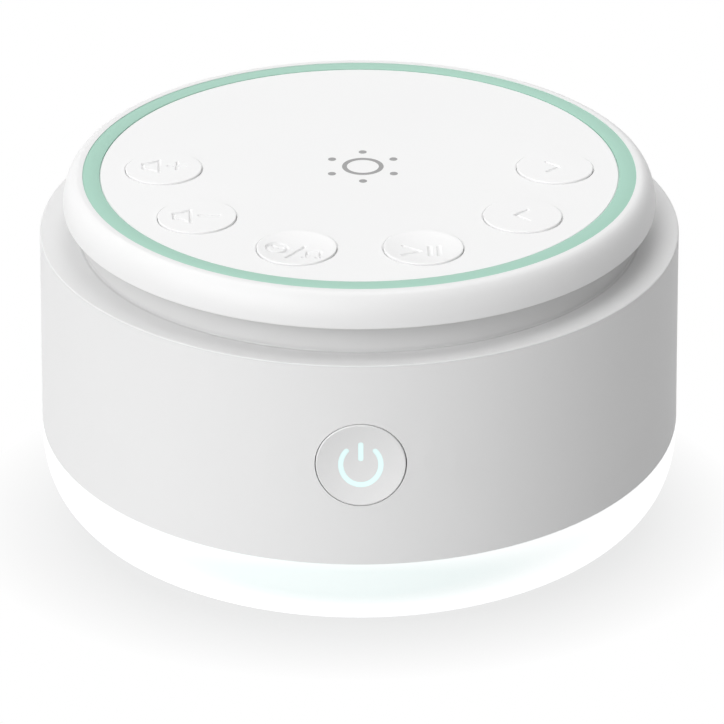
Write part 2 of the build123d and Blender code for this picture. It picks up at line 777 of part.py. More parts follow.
def main_housing():
    """Moulded drum: thin walls with pillars, webs, posts, guide tube and cut-outs."""
    shell = housing_form() - housing_hollow()
    shell += turned_copies(pillar(), PILLAR_ANGLES)
    shell += turned_copies(
        hanging_post(0, -BOARD_POST_CIRCLE, BOARD_POST_R, MAIN_BOARD_TOP_Z), BOARD_POST_ANGLES
    )
    shell += [hanging_post(0, side * STRAP_BOSS_Y, STRAP_BOSS_R, CELL_LOW_Z) for side in (-1, 1)]
    shell += turned_copies(
        post(0, -KEY_SCREW_CIRCLE, KEY_PAD_R, DECK_Z - WALL / 2, KEY_BOARD_LOW_Z),
        KEY_SCREW_ANGLES,
    )
    shell += guide_and_bosses()
    shell -= turned_copies(
        post(
            0,
            -PILLAR_CIRCLE,
            LONG_SCREW_R + SCREW_SLACK,
            PILLAR_LOW_Z,
            BASE_SCREW_SEAT_Z + LONG_SCREW_LENGTH + PILOT_SPARE,
        ),
        PILLAR_ANGLES,
    )
    depth = SCREW_LENGTH - BOARD_T + PILOT_SPARE
    shell -= turned_copies(
        pilot(0, -BOARD_POST_CIRCLE, MAIN_BOARD_TOP_Z, depth), BOARD_POST_ANGLES
    )
    shell -= [pilot(0, side * STRAP_BOSS_Y, CELL_LOW_Z, depth) for side in (-1, 1)]
    shell -= turned_copies(
        pilot(0, -KEY_SCREW_CIRCLE, KEY_BOARD_LOW_Z - key_screw_bite(), key_screw_bite()),
        KEY_SCREW_ANGLES,
    )
    shell -= turned_copies(
        post(0, -CAP_BOSS_CIRCLE, LONG_SCREW_R + FIT_GAP, CEILING_Z, DECK_Z), CAP_BOSS_ANGLES
    )
    slot_w = RIBBON_W + 2 * PIECE_GAP
    shell -= block(0, RIBBON_Y, CEILING_Z, slot_w, RIBBON_PLUG_T, WALL)
    return shell - front_cuts() - usb_cuts()


def key_screw_bite():
    """Depth of a key board screw in its pad and the floor under it."""
    return KEY_BOARD_LOW_Z - CEILING_Z - PILOT_SPARE


# ---------------------------------------------------------------- main board, socket


def screw_hole(x, y, low, high):
    """Clearance hole for a short screw."""
    return post(x, y, SCREW_R + FIT_GAP, low, high)


def main_board():
    """Round board with a tongue to the rear for the socket."""
    board = disc(MAIN_BOARD_R, MAIN_BOARD_LOW_Z, MAIN_BOARD_TOP_Z)
    board += block(
        0, BOARD_TONGUE_Y / 2, MAIN_BOARD_LOW_Z, 2 * TONGUE_HALF_W, BOARD_TONGUE_Y, BOARD_T
    )
    hole = screw_hole(0, -BOARD_POST_CIRCLE, MAIN_BOARD_LOW_Z, MAIN_BOARD_TOP_Z)
    return board - turned_copies(hole, BOARD_POST_ANGLES)


def row_places(lengths):
    """Centres of parts side by side about x = 0, with one gap between neighbours."""
    left = -(sum(lengths) + CHIP_GAP * (len(lengths) - 1)) / 2
    places = []
    for length in lengths:
        places.append(left + length / 2)
        left += length + CHIP_GAP
    return places


def chip(x, y, size):
    """Chip of a length, width and height, standing on the main board."""
    return block(x, y, MAIN_BOARD_TOP_Z, *size)


def board_components():
    """Chips, choke and capacitors on the main board, in a rear and a front row."""
    rear = (PROCESSOR, SOUND_STORE, CHOKE)
    places = row_places([size[0] for size in rear])
    parts = [chip(x, CHIP_ROW_Y, size) for x, size in zip(places, rear)]
    width = 2 * CAPACITOR_R
    front = row_places([AMPLIFIER[0], width, width, CHARGER[0]])
    parts.append(chip(front[0], -CHIP_ROW_Y, AMPLIFIER))
    parts.append(chip(front[3], -CHIP_ROW_Y, CHARGER))
    top = CELL_LOW_Z - STRAP_T - CAPACITOR_ROOM
    parts += [
        post(x, -CHIP_ROW_Y, CAPACITOR_R, MAIN_BOARD_TOP_Z, top) for x in front[1:3]
    ]
    return group(parts)


def connector_places():
    """Centre and foot height of each lead's connector on the main board."""
    low = MAIN_BOARD_LOW_Z - CONNECTOR_H
    return {
        "speaker": (-TAB_REACH + CONNECTOR_W / 2, 0, low),
        "light": (MAIN_BOARD_R - CONNECTOR_L, CONNECTOR_L, low),
        "battery": (battery_plug_x(), -CONNECTOR_L - CONNECTOR_H, MAIN_BOARD_TOP_Z),
        "power": (0, -MAIN_BOARD_R + CONNECTOR_L - FIT_GAP, MAIN_BOARD_TOP_Z),
    }


def lead_column_x():
    """Distance of the battery's leads from the axis, beyond the end of the cell."""
    return CELL_L / 2 + LEAD_BEND + LEAD_R


def battery_plug_x():
    """Centre of the battery's connector, two lead bends inside the leads' drop."""
    return lead_column_x() - 2 * LEAD_BEND - CONNECTOR_W / 2


def board_connectors():
    """Lead connectors on the main board and both ribbon connectors."""
    spots = connector_places()
    boxes = [
        block(*spots["speaker"], CONNECTOR_W, CONNECTOR_L, CONNECTOR_H),
        block(*spots["light"], CONNECTOR_W, CONNECTOR_L, CONNECTOR_H),
        block(*spots["battery"], CONNECTOR_W, CONNECTOR_L, CONNECTOR_H),
        block(*spots["power"], CONNECTOR_L, CONNECTOR_W, CONNECTOR_H),
    ]
    plug_w = RIBBON_W + 2 * RIBBON_PLUG_OVER
    lower = block(0, RIBBON_Y, MAIN_BOARD_TOP_Z, plug_w, RIBBON_PLUG_T, CONNECTOR_H)
    upper = block(0, RIBBON_Y, DECK_Z, plug_w, RIBBON_PLUG_T, KEY_BOARD_LOW_Z - DECK_Z)
    return group([*boxes, lower, upper])


def usb_socket():
    """USB-C socket: drawn steel shell with the contact tongue in its mouth."""
    shell = along_y(SlotOverall(USB_W, USB_H), USB_REAR_Y, USB_FACE_Y, USB_Z)
    bore = SlotOverall(USB_W - 2 * USB_SHELL_T, USB_H - 2 * USB_SHELL_T)
    shell -= along_y(bore, USB_REAR_Y + USB_BACK_T, USB_FACE_Y, USB_Z)
    tongue = Rectangle(USB_TONGUE_W, USB_TONGUE_T)
    return shell + along_y(tongue, USB_REAR_Y, USB_FACE_Y - USB_TONGUE_BACK, USB_Z)


def board_screws():
    """Short screws of the main board, battery strap, key board and power board."""
    up = Rot(180, 0, 0) * short_screw()
    main = Pos(0, -BOARD_POST_CIRCLE, MAIN_BOARD_LOW_Z) * up
    key = short_screw(BOARD_T + key_screw_bite() - PILOT_SPARE / 2)
    key = Pos(0, -KEY_SCREW_CIRCLE, KEY_BOARD_TOP_Z) * key
    side = Pos(0, POWER_BOARD_BACK_Y, POWER_Z) * Rot(-90, 0, 0) * short_screw()
    screws = turned_copies(main, BOARD_POST_ANGLES) + turned_copies(key, KEY_SCREW_ANGLES)
    screws += [Pos(0, end * STRAP_BOSS_Y, CELL_LOW_Z - STRAP_T) * up for end in (-1, 1)]
    screws += [Pos(end * POWER_SCREW_OUT, 0, 0) * side for end in (-1, 1)]
    return group(screws)


# ---------------------------------------------------------------- battery


def battery_cell():
    """Flat rechargeable cell against the ceiling of the housing."""
    cell = block(0, 0, CELL_LOW_Z, CELL_L, CELL_W, CELL_T)
    return fillet(cell.edges().filter_by(Axis.X), CELL_EDGE)


def battery_bracket():
    """Strap under the cell, screwed to two bosses."""
    ears = SlotOverall(2 * (STRAP_BOSS_Y + STRAP_EAR_R), 2 * STRAP_EAR_R, 90)
    strap = Rectangle(STRAP_W, CELL_W) + ears
    for end in (-1, 1):
        strap -= Pos(0, end * STRAP_BOSS_Y) * Circle(SCREW_R + FIT_GAP)
    return Pos(0, 0, CELL_LOW_Z - STRAP_T) * extrude(strap, STRAP_T)


# ---------------------------------------------------------------- power key


def power_dish():
    """Barrel that cuts an even round dish into the key's face, square to the drafted band."""
    down_r = dish_ball_radius(POWER_DISH_R, POWER_DISH_DEPTH)
    across_r = 1 / (1 / down_r - 1 / band_radius(POWER_Z))
    end_r = down_r - across_r + sqrt(across_r**2 - POWER_KEY_R**2)
    outline = make_face(
        [
            ThreePointArc((-POWER_KEY_R, end_r), (0, down_r), (POWER_KEY_R, end_r)),
            Polyline((POWER_KEY_R, end_r), (POWER_KEY_R, 0), (-POWER_KEY_R, 0)),
            Line((-POWER_KEY_R, 0), (-POWER_KEY_R, end_r)),
        ]
    )
    out = POWER_PROUD - POWER_DISH_DEPTH + down_r
    face = Pos(0, POWER_FACE_Y, POWER_Z) * Rot(-BAND_DRAFT, 0, 0)
    return face * Pos(0, -out, 0) * revolve(outline, Axis.X)


def power_key_blank():
    """Power key without its sign: round cap with a dished face, flange and centre stem."""
    cap = along_y(Circle(POWER_KEY_R), -SEAM_R - WALL, POWER_BACK_Y, POWER_Z)
    grown = POWER_PROUD
    cap &= Cone(
        band_radius(0) + grown, band_radius(BAND_TOP_Z) + grown, BAND_TOP_Z, align=LOW
    )
    cap = fillet(cap.edges().sort_by(Axis.Y)[0], POWER_EDGE_ROUND)
    cap += along_y(Circle(POWER_FLANGE_R), POWER_FLANGE_Y, POWER_BACK_Y, POWER_Z)
    hollow = Circle(POWER_KEY_R - KEY_WALL) - Circle(KEY_STEM_R)
    cap -= along_y(hollow, POWER_FACE_Y + POWER_FACE_T, POWER_BACK_Y, POWER_Z)
    return cap - power_dish()


def power_sign():
    """Power sign in (x, z): an open oval ring with a bar in its gap."""
    half = SIGN_STROKE / 2
    gap = radians(SIGN_GAP_ANGLE)
    end_x = SIGN_HALF_W * sin(gap)
    end_z = SIGN_HALF_H * cos(gap)
    wedge = Polyline((0, 0), (-2 * end_x, 2 * end_z), (2 * end_x, 2 * end_z), close=True)
    sign = Ellipse(SIGN_HALF_W + half, SIGN_HALF_H + half)
    sign -= Ellipse(SIGN_HALF_W - half, SIGN_HALF_H - half)
    sign -= make_face(wedge)
    sign += [Pos(side * end_x, end_z) * Circle(half) for side in (-1, 1)]
    bar_l = SIGN_BAR_HIGH - SIGN_BAR_LOW + SIGN_STROKE
    bar = Pos(0, (SIGN_BAR_LOW + SIGN_BAR_HIGH) / 2) * SlotOverall(bar_l, SIGN_STROKE, 90)
    return Pos(0, -SIGN_DROP) * (sign + bar)


def power_sign_prism():
    """Power sign carried through the face of the power key."""
    return along_y(power_sign(), -SEAM_R - WALL, POWER_FACE_Y + POWER_FACE_T, POWER_Z)


def power_key():
    """Power key with the sign cut through its face."""
    return power_key_blank() - power_sign_prism()


def power_key_icon():
    """Clear sign that fills the cut in the power key and passes the light."""
    return power_key_blank() & power_sign_prism()


def power_switch_board():
    """Upright board behind the power key."""
    board = Rectangle(2 * POWER_BOARD_HALF_W, 2 * POWER_BOARD_HALF_H)
    for side in (-1, 1):
        board -= Pos(side * POWER_SCREW_OUT, 0) * Circle(SCREW_R + FIT_GAP)
    return along_y(board, POWER_BOARD_Y, POWER_BOARD_BACK_Y, POWER_Z)


def switch_body():
    """Press switch standing at height 0, with the bore of its plunger."""
    body = block(0, 0, 0, SWITCH_SIDE, SWITCH_SIDE, SWITCH_H)
    bore_low = SWITCH_H - PLUNGER_IN - KEY_TRAVEL - POWER_TRAVEL
    return body - disc(PLUNGER_R + PLUNGER_SLACK, bore_low, SWITCH_H)


def switch_plunger():
    """Plunger of a press switch whose body stands at height 0."""
    return disc(PLUNGER_R, SWITCH_H - PLUNGER_IN, SWITCH_H + PLUNGER_PROUD)


def facing_front(shape):
    """Turn a shape that stands at height 0 to stand on the power board."""
    return Pos(0, POWER_BOARD_Y, POWER_Z) * Rot(90, 0, 0) * shape


def power_led():
    """Lamp above the power switch that lights the sign."""
    lamp = block(0, POWER_LED_RISE, 0, POWER_LED_L, POWER_LED_W, POWER_LED_T)
    return facing_front(lamp)


# ---------------------------------------------------------------- cap, ring, panel


def top_cap():
    """Bull-nosed ring that overhangs the neck, with a shelf and three screw bosses."""
    wide = CAP_R - CAP_LOWER_ROUND
    cap = turned(
        Polyline(
            (RECESS_R, PANEL_LOW_Z),
            (RECESS_R, CAP_TOP_Z),
            (CAP_TOP_R, CAP_TOP_Z),
        ),
        EllipticalCenterArc((CAP_TOP_R, CAP_WIDE_Z), CAP_UPPER_IN, CAP_UPPER_RISE, arc_size=90),
        CenterArc((wide, CAP_WIDE_Z), CAP_LOWER_ROUND, 270, 90),
        Polyline(
            (wide, CAP_LOW_Z),
            (NECK_R + FIT_GAP, CAP_LOW_Z),
            (NECK_R + FIT_GAP, NECK_TOP_Z),
            (SHELF_BORE, NECK_TOP_Z),
            (SHELF_BORE, PANEL_LOW_Z),
            (RECESS_R, PANEL_LOW_Z),
        ),
    )
    boss = post(0, -CAP_BOSS_CIRCLE, CAP_BOSS_R, DECK_Z, PANEL_LOW_Z)
    hole_top = CEILING_Z + LONG_SCREW_LENGTH + PILOT_SPARE
    hole = post(0, -CAP_BOSS_CIRCLE, LONG_SCREW_R + SCREW_SLACK, DECK_Z, hole_top)
    cap += turned_copies(boss, CAP_BOSS_ANGLES)
    return cap - turned_copies(hole, CAP_BOSS_ANGLES)


def cap_screws():
    """Screws up through the housing into the cap's bosses."""
    one = screw(LONG_SCREW_R, LONG_SCREW_HEAD_R, LONG_SCREW_HEAD_H, LONG_SCREW_LENGTH)
    placed = Pos(0, -CAP_BOSS_CIRCLE, CEILING_Z) * Rot(180, 0, 0) * one
    return group(turned_copies(placed, CAP_BOSS_ANGLES))


def accent_ring():
    """Coloured trim ring in the recess of the cap."""
    trim = ring(RING_R, RING_BORE, PANEL_LOW_Z, CAP_TOP_Z)
    return chamfer(trim.edges().group_by(Axis.Z)[-1], RING_EDGE)


def key_angles():
    """Angle of each key from the front, towards the right."""
    return {name: step * KEY_HALF_STEP for name, step in KEY_STEPS.items()}


def top_panel():
    """Round control panel with six key holes."""
    panel = disc(PANEL_R, PANEL_LOW_Z, PANEL_TOP_Z)
    hole = post(0, -KEY_CIRCLE, KEY_HOLE_R, PANEL_LOW_Z, PANEL_TOP_Z)
    panel -= turned_copies(hole, key_angles().values())
    return chamfer(panel.edges().group_by(Axis.Z)[-1], PANEL_EDGE)


def key(dished):
    """Round key at the front: cap, flange under the panel and centre stem."""
    cap = disc(KEY_R, KEY_LOW_Z, KEY_TOP_Z)
    cap = fillet(cap.edges().group_by(Axis.Z)[-1], KEY_EDGE_ROUND)
    cap += disc(KEY_FLANGE_R, KEY_LOW_Z, KEY_FLANGE_TOP_Z)
    cap -= ring(KEY_R - KEY_WALL, KEY_STEM_R, KEY_LOW_Z, KEY_TOP_Z - KEY_TOP_T)
    if dished:
        cap -= Pos(0, 0, KEY_TOP_Z) * dish(KEY_DISH_R, KEY_DISH_DEPTH)
    return Pos(0, -KEY_CIRCLE, 0) * cap


# ---------------------------------------------------------------- key board


def key_board():
    """Round board under the panel."""
    board = disc(KEY_BOARD_R, KEY_BOARD_LOW_Z, KEY_BOARD_TOP_Z)
    hole = screw_hole(0, -KEY_SCREW_CIRCLE, KEY_BOARD_LOW_Z, KEY_BOARD_TOP_Z)
    return board - turned_copies(hole, KEY_SCREW_ANGLES)


def on_key_board(shape, angle):
    """Stand a shape made at height 0 on the key board, under the key at an angle."""
    return Rot(0, 0, angle) * Pos(0, -KEY_CIRCLE, KEY_BOARD_TOP_Z) * shape


def key_switches():
    """One press switch under each key."""
    return group([on_key_board(switch_body(), angle) for angle in key_angles().values()])


def touch_pad():
    """Conductive foam between the board and the middle of the panel."""
    return disc(TOUCH_PAD_R, KEY_BOARD_TOP_Z, PANEL_LOW_Z)


# ---------------------------------------------------------------- leads


def key_ribbon():
    """Flat cable from the main board up through the housing to the key board."""
    low = MAIN_BOARD_TOP_Z + CONNECTOR_H
    return block(0, RIBBON_Y, low, RIBBON_W, RIBBON_T, DECK_Z - low)


def lead_pair(points, aside):
    """Two round leads along one route, set half a pitch aside each way."""
    leads = []
    for side in (-1, 1):
        shift = Vector(*aside) * (side * LEAD_PITCH / 2)
        route = FilletPolyline(*[Vector(*point) + shift for point in points], radius=LEAD_BEND)
        section = Plane(route @ 0, z_dir=route % 0) * Circle(LEAD_R)
        leads.append(sweep(section, path=route))
    return group(leads)


def speaker_leads():
    """Leads from the speaker's tab up to the main board."""
    x, y, z = connector_places()["speaker"]
    start = SPIDER_Z + TAB_T
    bend = (start + z) / 2
    outer = x - LEAD_BEND
    points = [(x, y, start), (x, y, bend - LEAD_BEND), (outer, y, bend + LEAD_BEND), (outer, y, z)]
    return lead_pair(points, (0, 1, 0))


def battery_leads():
    """Leads from the end of the cell down to the main board."""
    x, y, z = connector_places()["battery"]
    drop_x = lead_column_x()
    level = CELL_LOW_Z + CELL_T / 2
    entry = z + CONNECTOR_H / 2
    points = [
        (CELL_L / 2, y, level),
        (drop_x, y, level),
        (drop_x, y, entry),
        (x + CONNECTOR_W / 2, y, entry),
    ]
    return lead_pair(points, (0, 1, 0))


def led_leads():
    """Leads from the ring board up and in to the main board."""
    x, y, z = connector_places()["light"]
    level = (LED_BOARD_TOP_Z + z) / 2
    points = [(LED_CIRCLE, y, LED_BOARD_TOP_Z), (LED_CIRCLE, y, level), (x, y, level), (x, y, z)]
    return lead_pair(points, (0, 1, 0))


def power_leads():
    """Leads from the power board back and down to the main board."""
    x, y, z = connector_places()["power"]
    entry = z + CONNECTOR_H / 2
    exit_z = POWER_Z + POWER_BOARD_HALF_H / 2
    level_y = (POWER_BOARD_BACK_Y + y - CONNECTOR_W / 2) / 2
    points = [
        (x, POWER_BOARD_BACK_Y, exit_z),
        (x, level_y, exit_z),
        (x, level_y, entry),
        (x, y - CONNECTOR_W / 2, entry),
    ]
    return lead_pair(points, (1, 0, 0))


# ---------------------------------------------------------------- all pieces


def all_pieces():
    """Every piece by name, in place."""
    pieces = {
        "base_plate": base_plate(),
        "base_screws": base_screws(),
        "light_diffuser": light_diffuser(),
        "light_reflector": light_reflector(),
        "led_board": led_board(),
        "night_light_leds": night_light_leds(),
        "speaker_gasket": speaker_gasket(),
        "speaker_frame": speaker_frame(),
        "speaker_surround": speaker_surround(),
        "speaker_cone": speaker_cone(),
        "speaker_dust_cap": speaker_dust_cap(),
        "speaker_spider": speaker_spider(),
        "speaker_voice_coil": speaker_voice_coil(),
        "speaker_top_plate": speaker_top_plate(),
        "speaker_magnet": speaker_magnet(),
        "speaker_yoke": speaker_yoke(),
        "speaker_screws": speaker_screws(),
        "main_housing": main_housing(),
        "main_board": main_board(),
        "board_components": board_components(),
        "board_connectors": board_connectors(),
        "usb_socket": usb_socket(),
        "board_screws": board_screws(),
        "battery_cell": battery_cell(),
        "battery_bracket": battery_bracket(),
        "power_key": power_key(),
        "power_key_icon": power_key_icon(),
        "power_switch_board": power_switch_board(),
        "power_switch": facing_front(switch_body()),
        "power_switch_plunger": facing_front(switch_plunger()),
        "power_led": power_led(),
        "key_board": key_board(),
        "key_switches": key_switches(),
        "touch_pad": touch_pad(),
        "cap_screws": cap_screws(),
        "top_cap": top_cap(),
        "accent_ring": accent_ring(),
        "top_panel": top_panel(),
        "key_ribbon": key_ribbon(),
        "speaker_leads": speaker_leads(),
        "battery_leads": battery_leads(),
        "led_leads": led_leads(),
        "power_leads": power_leads(),
    }
    feet = ("front_left", "front_right", "rear_left", "rear_right")
    for name, angle in zip(feet, PILLAR_ANGLES):
        pieces["foot_" + name] = Rot(0, 0, angle) * foot()
    for name, angle in key_angles().items():
        pieces["key_" + name] = Rot(0, 0, angle) * key(name in DISHED_KEYS)
        pieces["plunger_" + name] = on_key_board(switch_plunger(), angle)
    return pieces


os.makedirs("parts", exist_ok=True)
for piece_name, piece in all_pieces().items():
    export_step(piece, "parts/" + piece_name + ".step")
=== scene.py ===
from math import cos, pi, radians, sin

import bmesh
import bpy
from mathutils import Matrix, Vector


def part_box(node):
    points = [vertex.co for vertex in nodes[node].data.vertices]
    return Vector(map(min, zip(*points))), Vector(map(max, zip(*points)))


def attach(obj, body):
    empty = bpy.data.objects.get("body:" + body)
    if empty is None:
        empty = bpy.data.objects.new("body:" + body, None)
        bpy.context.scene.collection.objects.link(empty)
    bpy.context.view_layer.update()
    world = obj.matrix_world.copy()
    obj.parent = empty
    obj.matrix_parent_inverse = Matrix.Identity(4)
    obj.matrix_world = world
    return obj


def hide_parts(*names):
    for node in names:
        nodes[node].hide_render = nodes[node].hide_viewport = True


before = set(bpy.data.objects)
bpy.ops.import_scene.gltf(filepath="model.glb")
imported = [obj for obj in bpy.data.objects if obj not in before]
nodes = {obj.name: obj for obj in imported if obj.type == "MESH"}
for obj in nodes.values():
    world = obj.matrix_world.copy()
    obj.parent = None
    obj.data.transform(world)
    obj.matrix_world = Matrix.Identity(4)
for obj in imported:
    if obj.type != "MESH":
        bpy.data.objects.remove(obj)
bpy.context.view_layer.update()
scene = bpy.context.scene
scene.view_settings.view_transform = "Standard"
mm = 0.001

# ------------------------------------------------------------------ camera
# The machine is seen from the front, a little above the keys, through a long
# lens, so that the round cap, the band and the lit base all show.
CAMERA_TURN = radians(-0.28)
EYE = Vector((0.42 * mm, -451.4 * mm, 255.6 * mm))
AIM = Vector((0.42 * mm, 0, 20.3 * mm))
LENS = 157.4

turn = Matrix.Rotation(CAMERA_TURN, 4, "Z")
camera_data = bpy.data.cameras.new("camera")
camera_data.lens = LENS
camera = bpy.data.objects.new("camera", camera_data)
camera.location = turn @ EYE
camera.rotation_euler = (turn @ (AIM - EYE)).to_track_quat("-Z", "Y").to_euler()
scene.collection.objects.link(camera)
scene.camera = camera

# ------------------------------------------------------------------ base plate
# Round bottom plate of white ABS, moulded with the sound outlet holes, the foot
# recesses and the speaker seat. Four screws under the feet hold it to the base.
BASE_WHITE = (0.8, 0.8, 0.79)
# Slow drift of shade and gloss over every moulding: its size, its darkest shade and
# how far the gloss moves.
DRIFT_SIZE = 40 * mm
DRIFT_SHADE = 0.985
DRIFT_GLOSS = 0.04
# Range of a pattern that is turned into shade.
SHADE_FROM, SHADE_TO = 0.3, 0.7


def new_finish(name, colour, roughness):
    """A material of one colour and gloss, and its node tree and shader to work on."""
    finish = bpy.data.materials.new(name)
    finish.use_nodes = True
    tree = finish.node_tree
    shader = tree.nodes["Principled BSDF"]
    shader.inputs["Base Color"].default_value = (*colour, 1)
    shader.inputs["Roughness"].default_value = roughness
    return finish, tree, shader


def add_node(tree, kind, **settings):
    """A node of this kind, with its settings and its sockets' values."""
    node = tree.nodes.new("ShaderNode" + kind)
    for key, value in settings.items():
        if hasattr(node, key):
            setattr(node, key, value)
        else:
            node.inputs[key.replace("_", " ")].default_value = value
    return node


def own_space(tree):
    """Socket of the object's own coordinates."""
    return add_node(tree, "TexCoord").outputs["Object"]


def cloud(tree, size, detail=2.0):
    """Soft random pattern in the object's own space, with lumps of about this size."""
    noise = add_node(tree, "TexNoise", Scale=1 / size, Detail=detail)
    tree.links.new(own_space(tree), noise.inputs["Vector"])
    return noise


def vary(tree, source, socket, low, high):
    """Lets a pattern move a shader value between low and high."""
    span = add_node(tree, "MapRange", To_Min=low, To_Max=high)
    tree.links.new(source.outputs[0], span.inputs["Value"])
    tree.links.new(span.outputs["Result"], socket)


def tint(tree, source, colour, socket, darker):
    """Lets a pattern shade a colour down to that share of itself."""
    ramp = add_node(tree, "ValToRGB")
    ramp.color_ramp.elements[0].position = SHADE_FROM
    ramp.color_ramp.elements[0].color = (*[c * darker for c in colour], 1)
    ramp.color_ramp.elements[1].position = SHADE_TO
    ramp.color_ramp.elements[1].color = (*colour, 1)
    tree.links.new(source.outputs[0], ramp.inputs["Fac"])
    tree.links.new(ramp.outputs["Color"], socket)


def raise_grain(tree, source, shader, depth):
    """Lets a pattern stand up from the surface by this depth."""
    bump = add_node(tree, "Bump", Distance=depth, Strength=1.0)
    tree.links.new(source.outputs[0], bump.inputs["Height"])
    tree.links.new(bump.outputs["Normal"], shader.inputs["Normal"])


def moulded(name, colour, roughness, grain, depth):
    """Moulded plastic: fine spark-eroded grain, with slow drifts of shade and gloss."""
    finish, tree, shader = new_finish(name, colour, roughness)
    drift = cloud(tree, DRIFT_SIZE)
    tint(tree, drift, colour, shader.inputs["Base Color"], DRIFT_SHADE)
    low, high = roughness - DRIFT_GLOSS, roughness + DRIFT_GLOSS
    vary(tree, drift, shader.inputs["Roughness"], low, high)
    raise_grain(tree, cloud(tree, grain), shader, depth)
    return finish


def dress(finish, *names):
    """Gives a finish to these parts of the machine."""
    for name in names:
        part = nodes[name]
        if not part.data.materials:
            part.data.materials.append(finish)
        for place in part.material_slots:
            place.material = finish


base_finish = moulded(
    "base_white", BASE_WHITE, roughness=0.55, grain=0.5 * mm, depth=0.02 * mm
)
dress(base_finish, "base_plate")

# ------------------------------------------------------------------ feet and screws
# Four soft rubber feet pressed into the plate's recesses, over self-tapping
# screws of zinc-plated steel.
RUBBER_GREY = (0.28, 0.29, 0.3)
ZINC = (0.62, 0.63, 0.65)
# Turning marks on bright metal: darkest shade, shine and dullness they add, and depth.
STREAK_SHADE = 0.88
STREAK_SHINE = 0.08
STREAK_DULL = 0.12
STREAK_DEPTH = 0.01 * mm

rubber, tree, shader = new_finish("foot_rubber", RUBBER_GREY, roughness=0.85)
mottle = cloud(tree, size=1.2 * mm, detail=4.0)
tint(tree, mottle, RUBBER_GREY, shader.inputs["Base Color"], darker=0.85)
raise_grain(tree, cloud(tree, size=0.3 * mm), shader, depth=0.03 * mm)
dress(rubber, "foot_front_left", "foot_front_right", "foot_rear_left", "foot_rear_right")


def metal(name, colour, roughness, streak):
    """Bright metal with fine turning marks of this size round the vertical axis."""
    finish, tree, shader = new_finish(name, colour, roughness)
    shader.inputs["Metallic"].default_value = 1.0
    marks = cloud(tree, streak, detail=6.0)
    tint(tree, marks, colour, shader.inputs["Base Color"], STREAK_SHADE)
    low, high = roughness - STREAK_SHINE, roughness + STREAK_DULL
    vary(tree, marks, shader.inputs["Roughness"], low, high)
    raise_grain(tree, marks, shader, STREAK_DEPTH)
    return finish


screw_finish = metal("zinc_screw", ZINC, roughness=0.32, streak=0.4 * mm)
dress(screw_finish, "base_screws", "board_screws", "speaker_screws", "cap_screws")

# ------------------------------------------------------------------ light diffuser
# The lit base: a bowl moulded in milky polycarbonate that glows all round, slightly
# cooler and dimmer in a lens-shaped patch at the front, under the band.
MILK_WHITE = (0.38, 0.4, 0.4)
GLOW_WHITE = (0.99, 1.0, 1.0)
GLOW_COOL = (0.725, 0.795, 0.785)
GLOW_POWER = 0.78
PATCH_CENTRE = Vector((-3, -51, 9.8)) * mm
PATCH_HALF = Vector((44, 60, 5.3)) * mm
# Share of the patch's half width, from its centre, over which it is coolest.
PATCH_FULL = 0.35

milk, tree, shader = new_finish("milky_diffuser", MILK_WHITE, roughness=0.42)
to_patch = Vector([1 / half for half in PATCH_HALF])
in_patch = add_node(tree, "Mapping", Location=-PATCH_CENTRE * to_patch, Scale=to_patch)
tree.links.new(own_space(tree), in_patch.inputs["Vector"])
from_centre = add_node(tree, "VectorMath", operation="LENGTH")
tree.links.new(in_patch.outputs["Vector"], from_centre.inputs[0])
cool_share = add_node(
    tree, "MapRange", interpolation_type="SMOOTHSTEP", From_Min=1.0, From_Max=PATCH_FULL
)
tree.links.new(from_centre.outputs["Value"], cool_share.inputs["Value"])
glow = add_node(tree, "ValToRGB")
glow.color_ramp.elements[0].color = (*GLOW_WHITE, 1)
glow.color_ramp.elements[1].color = (*GLOW_COOL, 1)
tree.links.new(cool_share.outputs["Result"], glow.inputs["Fac"])
tree.links.new(glow.outputs["Color"], shader.inputs["Emission Color"])
shader.inputs["Emission Strength"].default_value = GLOW_POWER
raise_grain(tree, cloud(tree, size=0.4 * mm), shader, depth=0.005 * mm)
dress(milk, "light_diffuser")

# ------------------------------------------------------------------ night light
# Twelve white LEDs on a ring-shaped board, over a glossy white reflector that
# turns their light out into the diffuser.
LAMINATE_GREEN = (0.02, 0.16, 0.07)
TRACE_GREEN = (0.035, 0.24, 0.1)
TRACK_PITCH = 6 * mm
TRACK_W = 0.05
LED_RESIN = (0.9, 0.82, 0.45)
REFLECTOR_WHITE = (0.88, 0.88, 0.88)

laminate, tree, shader = new_finish("green_board", LAMINATE_GREEN, roughness=0.38)
tracks = add_node(tree, "TexBrick", Scale=1 / TRACK_PITCH, Mortar_Size=TRACK_W)
tracks.inputs["Color1"].default_value = (*LAMINATE_GREEN, 1)
tracks.inputs["Color2"].default_value = (*LAMINATE_GREEN, 1)
tracks.inputs["Mortar"].default_value = (*TRACE_GREEN, 1)
tree.links.new(own_space(tree), tracks.inputs["Vector"])
tree.links.new(tracks.outputs["Color"], shader.inputs["Base Color"])
raise_grain(tree, cloud(tree, size=0.6 * mm), shader, depth=0.01 * mm)
dress(laminate, "led_board", "main_board", "key_board", "power_switch_board")

resin, tree, shader = new_finish("led_resin", LED_RESIN, roughness=0.25)
mottle = cloud(tree, size=0.8 * mm)
tint(tree, mottle, LED_RESIN, shader.inputs["Base Color"], darker=0.8)
dress(resin, "night_light_leds", "power_led")

reflector_finish = moulded(
    "reflector_white", REFLECTOR_WHITE, roughness=0.18, grain=2 * mm, depth=0.004 * mm
)
dress(reflector_finish, "light_reflector")

